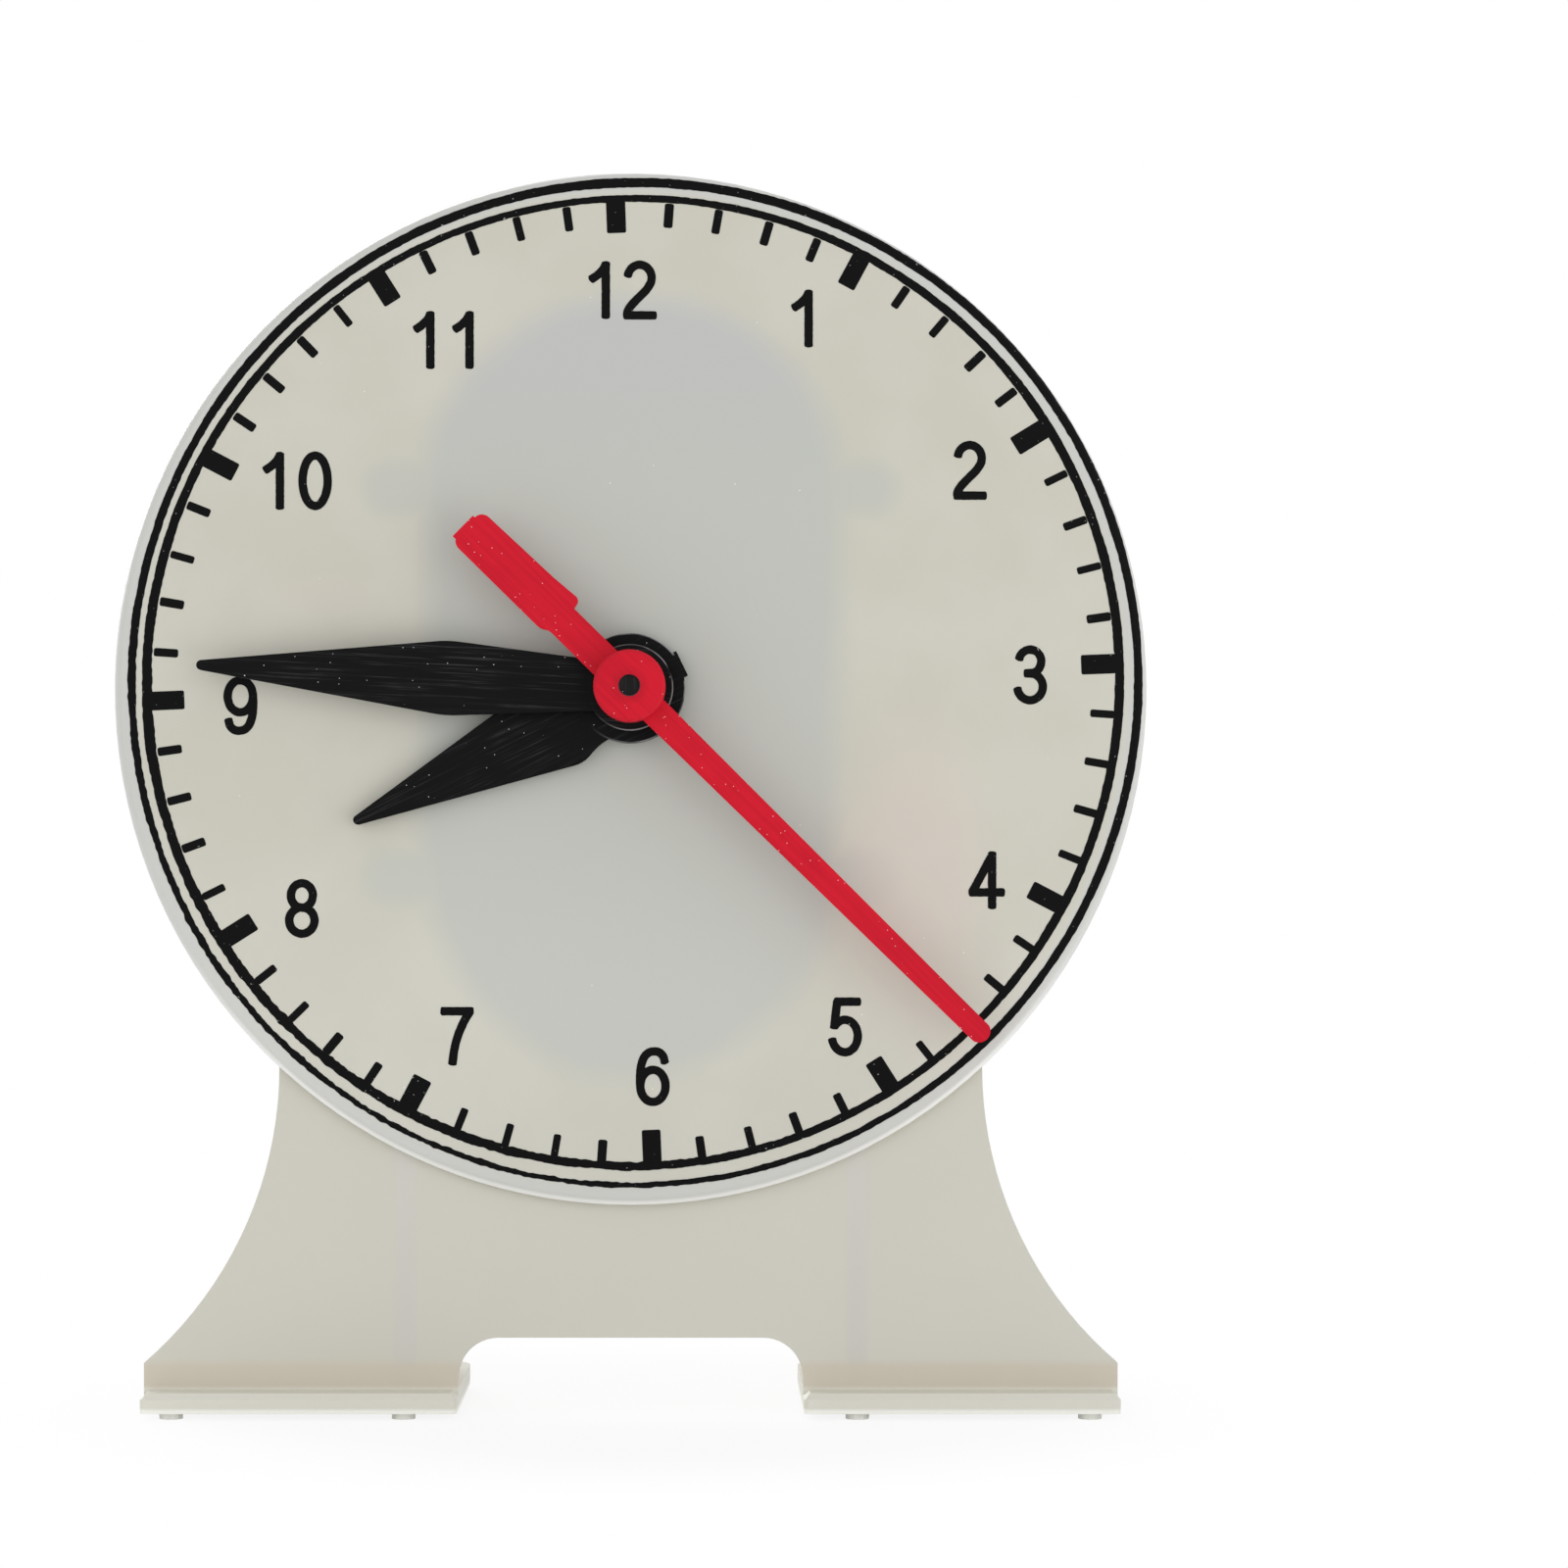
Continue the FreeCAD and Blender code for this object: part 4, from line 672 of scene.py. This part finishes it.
def drive_screws(node, body, places, seat, head_radius, shank_radius, shank_length, seed):
    """Screws at places from the dial's centre, seated this far behind its back, in millimetres."""
    dial_back, head_height = -9.2 * MM, 1.4 * MM
    start = bpy.data.meshes.new(node + " seats")
    seats = [(x * MM, dial_back + seat * MM, DIAL_CENTRE.z + rise * MM) for x, rise in places]
    start.from_pydata(seats, [], [])
    made = grown(node.replace("screw", "driven_screw"), screws, {
        "Head Radius": head_radius * MM, "Head Height": head_height,
        "Shank Radius": shank_radius * MM, "Shank Length": shank_length * MM,
        "Seed": seed, "Steel": zinc,
    }, body, start)
    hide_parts(node)


ears = [(28.2, 22.3), (-28.2, 22.3), (-28.2, -22.3), (28.2, -22.3)]
bosses = [(33.0, -39.1), (-33.0, -39.1), (20.0, -49.6), (-20.0, -49.6)]
drive_screws("case_screws", "frame", ears, seat=5.0,
             head_radius=2.1, shank_radius=0.9, shank_length=5.9, seed=4)
drive_screws("stand_screws", "frame", bosses, seat=2.6,
             head_radius=3.1, shank_radius=0.9, shank_length=3.5, seed=8)
drive_screws("knob_screw", "knob_arbor", [(0.0, 21.0)], seat=22.9,
             head_radius=2.4, shank_radius=1.0, shank_length=5.9, seed=12)


# --- gear train ----------------------------------------------------------------------------------
# Natural acetal wheels and pinions between the dial and the case, on tubes, a steel pin and
# bearings in the mouldings. A sprung clip keeps the minute wheel on its pin, and a dished washer
# drags on the knob's collar.

def acetal_finish():
    milky, clear = on_screen(226, 224, 214), on_screen(214, 212, 202)
    material, tree, shader, place = new_finish("natural acetal", roughness=0.3, specular=0.45)
    paint(tree, shader, mottled(tree, place, 160.0, 0.3, 0.7, clear, milky))
    return material


def dressed(finish, *nodes):
    """Give a finish to pieces that keep the frame's own form."""
    for node in nodes:
        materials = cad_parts[node].data.materials
        materials.clear()
        materials.append(finish)


dressed(acetal_finish(), "hour_wheel", "minute_arbor", "centre_wheel", "second_pinion",
        "third_wheel", "minute_wheel")
dressed(steel_finish("ground steel", on_screen(214, 215, 217), on_screen(192, 193, 196), 0.18),
        "minute_wheel_pin")
dressed(steel_finish("spring steel", on_screen(150, 152, 158), on_screen(118, 120, 128), 0.3),
        "retaining_clip", "spring_washer")


# --- hour and minute hands -----------------------------------------------------------------------
# Flat blades moulded in black styrene, each pressed on its own tube by a thicker round hub.
# Handling has drawn fine scratches along them and left specks of dust. The hubs' front edges
# carry a painted highlight with some rubbing.

def from_centre(tree, place):
    return wire(tree, "ShaderNodeVectorMath", {0: place, 1: tuple(DIAL_CENTRE)},
                operation="SUBTRACT").outputs[0]


def drawn_lines(tree, place, clockwise, across, along):
    """Fine lines that run along a hand standing this far round, in degrees."""
    through = 300.0
    turned = wire(tree, "ShaderNodeMapping",
                  {"Vector": from_centre(tree, place),
                   "Rotation": (0.0, -math.radians(clockwise), 0.0)})
    drawn = wire(tree, "ShaderNodeMapping",
                 {"Vector": turned.outputs[0], "Scale": (across, through, along)})
    return cloud(tree, drawn.outputs[0], 1.0, 2.0)


def black_finish(name, clockwise, hub_radius, hub_face, deep=on_screen(10, 10, 11)):
    """Black plastic, scratched along its length, with a painted highlight and some rubbing round
    its hub's front edge, except at the left and where the hour hand's lug stands out."""
    scuffed, rubbed_and_lit_colour = on_screen(54, 54, 56), on_screen(150, 150, 152)
    dust = on_screen(215, 215, 215)
    lug_x, lug_rise = 5.9 * MM, 2.44 * MM
    material, tree, shader, place = new_finish(name, roughness=0.42, specular=0.07)
    lines = drawn_lines(tree, place, clockwise, 5200.0, 110.0)
    patches = fade(tree, cloud(tree, place, 190.0), 0.38, 0.62, 0.25, 1.0)
    scratch = times(tree, fade(tree, lines, 0.52, 0.74), patches)
    colour = blended(tree, times(tree, scratch, 0.8), deep, scuffed)
    x, depth, rise = split(tree, from_centre(tree, place))
    off_edge = off(tree, distance(tree, x, rise), hub_radius)
    off_lug = distance(tree, less(tree, x, lug_x), less(tree, rise, lug_rise))
    # Painted highlight with some rubbing: a pale ring on the hub's front edge, on its right side
    # only.
    rub_and_highlight = times(tree, fade(tree, off_edge, 0.16 * MM, 0.05 * MM),
                fade(tree, x, -5.0 * MM, 1.0 * MM))
    rub_and_highlight = times(tree, rub_and_highlight, fade(tree, depth, hub_face + 0.3 * MM, hub_face + 0.1 * MM))
    rub_and_highlight = times(tree, rub_and_highlight, fade(tree, off_lug, 1.5 * MM, 1.8 * MM))
    rub_and_highlight = times(tree, rub_and_highlight, fade(tree, cloud(tree, place, 420.0), 0.35, 0.6, 0.25, 0.9))
    colour = blended(tree, rub_and_highlight, colour, rubbed_and_lit_colour)
    dots = maths(tree, "MAXIMUM", specks(tree, place, 1200.0, 0.06, 0.5),
                 specks(tree, place, 520.0, 0.035, 0.3))
    paint(tree, shader, blended(tree, dots, colour, dust))
    return material


hour_black = black_finish("black styrene, hour", 244.2, 6.25 * MM, -13.5 * MM)
minute_black = black_finish("black styrene, minute", 273.0, 4.9 * MM, -15.7 * MM)
moulded("hour_blade", "hour_hand", 0.12 * MM, hour_black, "hour_arbor")
moulded("minute_blade", "minute_hand", 0.12 * MM, minute_black,
        "minute_arbor_body")


# --- second hand and its shaft -------------------------------------------------------------------
# A glossy red pointer with a paddle for a counterweight. Its tall hub is pressed on a black shaft,
# whose end shows in the middle.

def red_finish():
    """Red plastic, streaked along its length, with painted shade round the shaft, and dusty."""
    bright, deep = on_screen(205, 22, 43), on_screen(193, 18, 40)
    shaft_shade_colour, dust = on_screen(160, 12, 32), on_screen(252, 214, 218)
    material, tree, shader, place = new_finish("red styrene", roughness=0.3, specular=0.12)
    lines = drawn_lines(tree, place, 134.6, 2600.0, 70.0)
    streaked = maths(tree, "MULTIPLY_ADD", lines, 0.5,
                     times(tree, cloud(tree, place, 120.0), 0.5))
    colour = blended(tree, fade(tree, streaked, 0.38, 0.62), deep, bright)
    x, _, rise = split(tree, from_centre(tree, place))
    # Painted shade: darker red round the shaft.
    round_shaft = fade(tree, distance(tree, x, rise), 2.5 * MM, 1.3 * MM, 0.0, 0.4)
    colour = blended(tree, round_shaft, colour, shaft_shade_colour)
    paint(tree, shader, blended(tree, specks(tree, place, 1500.0, 0.07, 0.8), colour, dust))
    grain(tree, shader, place, 500.0, 0.02 * MM)
    return material


moulded("second_pointer", "second_hand", 0.14 * MM, red_finish(), "second_arbor")
dressed(black_finish("black shaft", 0.0, 1.25 * MM, -20.65 * MM, on_screen(24, 22, 23)),
        "second_shaft")


# --- setting knob --------------------------------------------------------------------------------
# A fluted black knob behind the case, with a flatted bore, held on the third wheel's arbor by its
# screw.

def knob_finish():
    deep, worn = on_screen(30, 30, 32), on_screen(52, 52, 54)
    material, tree, shader, place = new_finish("knob plastic", roughness=0.55, specular=0.3)
    paint(tree, shader, mottled(tree, place, 300.0, 0.45, 0.75, deep, worn))
    grain(tree, shader, place, 4200.0, 0.05 * MM)
    return material


moulded("knob_moulding", "setting_knob", 0.12 * MM, knob_finish(), "knob_arbor")


# --- table, light and camera ---------------------------------------------------------------------
# The clock stands on a small pale board that goes white further off, in an even white room. A broad
# lamp shines from each side in front, the right one more strongly, and one from behind.

WHITE = (1.0, 1.0, 1.0, 1.0)


def seen_directly(tree):
    """1 for rays from the eye, also in a gloss or through a clear piece, and 0 for other light."""
    rays = tree.nodes.new("ShaderNodeLightPath").outputs
    seen = maths(tree, "MAXIMUM", rays["Is Camera Ray"], rays["Is Glossy Ray"])
    return maths(tree, "MAXIMUM", seen, rays["Is Transmission Ray"])


def table_finish():
    """Pale paper near the clock, which shines evenly white further off."""
    paper_colour, glow_near_clock = (0.93, 0.93, 0.93, 1.0), 0.87
    material = bpy.data.materials.new("pale table")
    material.use_nodes = True
    tree = material.node_tree
    tree.nodes.clear()
    place = tree.nodes.new("ShaderNodeTexCoord").outputs["Object"]
    paper = wire(tree, "ShaderNodeBsdfDiffuse", {"Color": paper_colour})
    white = wire(tree, "ShaderNodeEmission", {"Strength": 1.0})
    glow = fade(tree, length(tree, place), 40.0 * MM, 80.0 * MM, glow_near_clock, 1.0)
    share = times(tree, seen_directly(tree), glow)
    mixed = wire(tree, "ShaderNodeMixShader", {0: share, 1: paper.outputs[0], 2: white.outputs[0]})
    tree.links.new(mixed.outputs[0], tree.nodes.new("ShaderNodeOutputMaterial").inputs[0])
    return material


def table():
    reach = 100.0 * MM
    corners = [(-reach, -reach, 0), (reach, -reach, 0), (reach, reach, 0), (-reach, reach, 0)]
    mesh = bpy.data.meshes.new("table")
    mesh.from_pydata(corners, [], [(0, 1, 2, 3)])
    mesh.materials.append(table_finish())
    top = bpy.data.objects.new("table", mesh)
    bpy.context.scene.collection.objects.link(top)


def room():
    """A room that looks white and lights the clock a little less."""
    ambient = 0.65
    world = bpy.data.worlds.new("white room")
    bpy.context.scene.world = world
    world.use_nodes = True
    tree = world.node_tree
    tree.nodes.clear()
    seen = seen_directly(tree)
    lit = wire(tree, "ShaderNodeBackground", {"Color": WHITE, "Strength": ambient})
    white = wire(tree, "ShaderNodeBackground", {"Color": WHITE, "Strength": 1.0})
    mixed = wire(tree, "ShaderNodeMixShader", {0: seen, 1: lit.outputs[0], 2: white.outputs[0]})
    tree.links.new(mixed.outputs[0], tree.nodes.new("ShaderNodeOutputWorld").inputs[0])


def lamp(name, place, power, side):
    """A square lamp that shines at the dial's centre, in watts and metres."""
    light = bpy.data.lights.new(name, "AREA")
    light.energy = power
    light.shape = "SQUARE"
    light.size = side
    holder = bpy.data.objects.new(name, light)
    holder.location = place
    holder.rotation_euler = (DIAL_CENTRE - Vector(place)).to_track_quat("-Z", "Y").to_euler()
    bpy.context.scene.collection.objects.link(holder)


def camera():
    """A camera square to the dial and level with its lower half. Its shift puts the clock where it
    stands in the picture."""
    lens = bpy.data.cameras.new("camera")
    lens.lens = 100.0
    lens.sensor_width = 36.0
    lens.shift_x = 0.0575
    lens.shift_y = 0.06
    lens.clip_start = 0.01
    holder = bpy.data.objects.new("camera", lens)
    holder.location = (7.26 * MM, -510.6 * MM, 61.92 * MM)
    holder.rotation_euler = (math.pi / 2, 0.0, 0.0)
    bpy.context.scene.collection.objects.link(holder)
    bpy.context.scene.camera = holder


table()
room()
lamp("right lamp", (0.62, -0.6, -0.05), power=3.9, side=1.1)
lamp("left lamp", (-0.55, -0.65, 0.1), power=2.2, side=1.1)
lamp("lamp behind", (-0.4, 0.7, 0.5), power=4.0, side=0.6)
camera()
bpy.context.scene.view_settings.view_transform = "Standard"
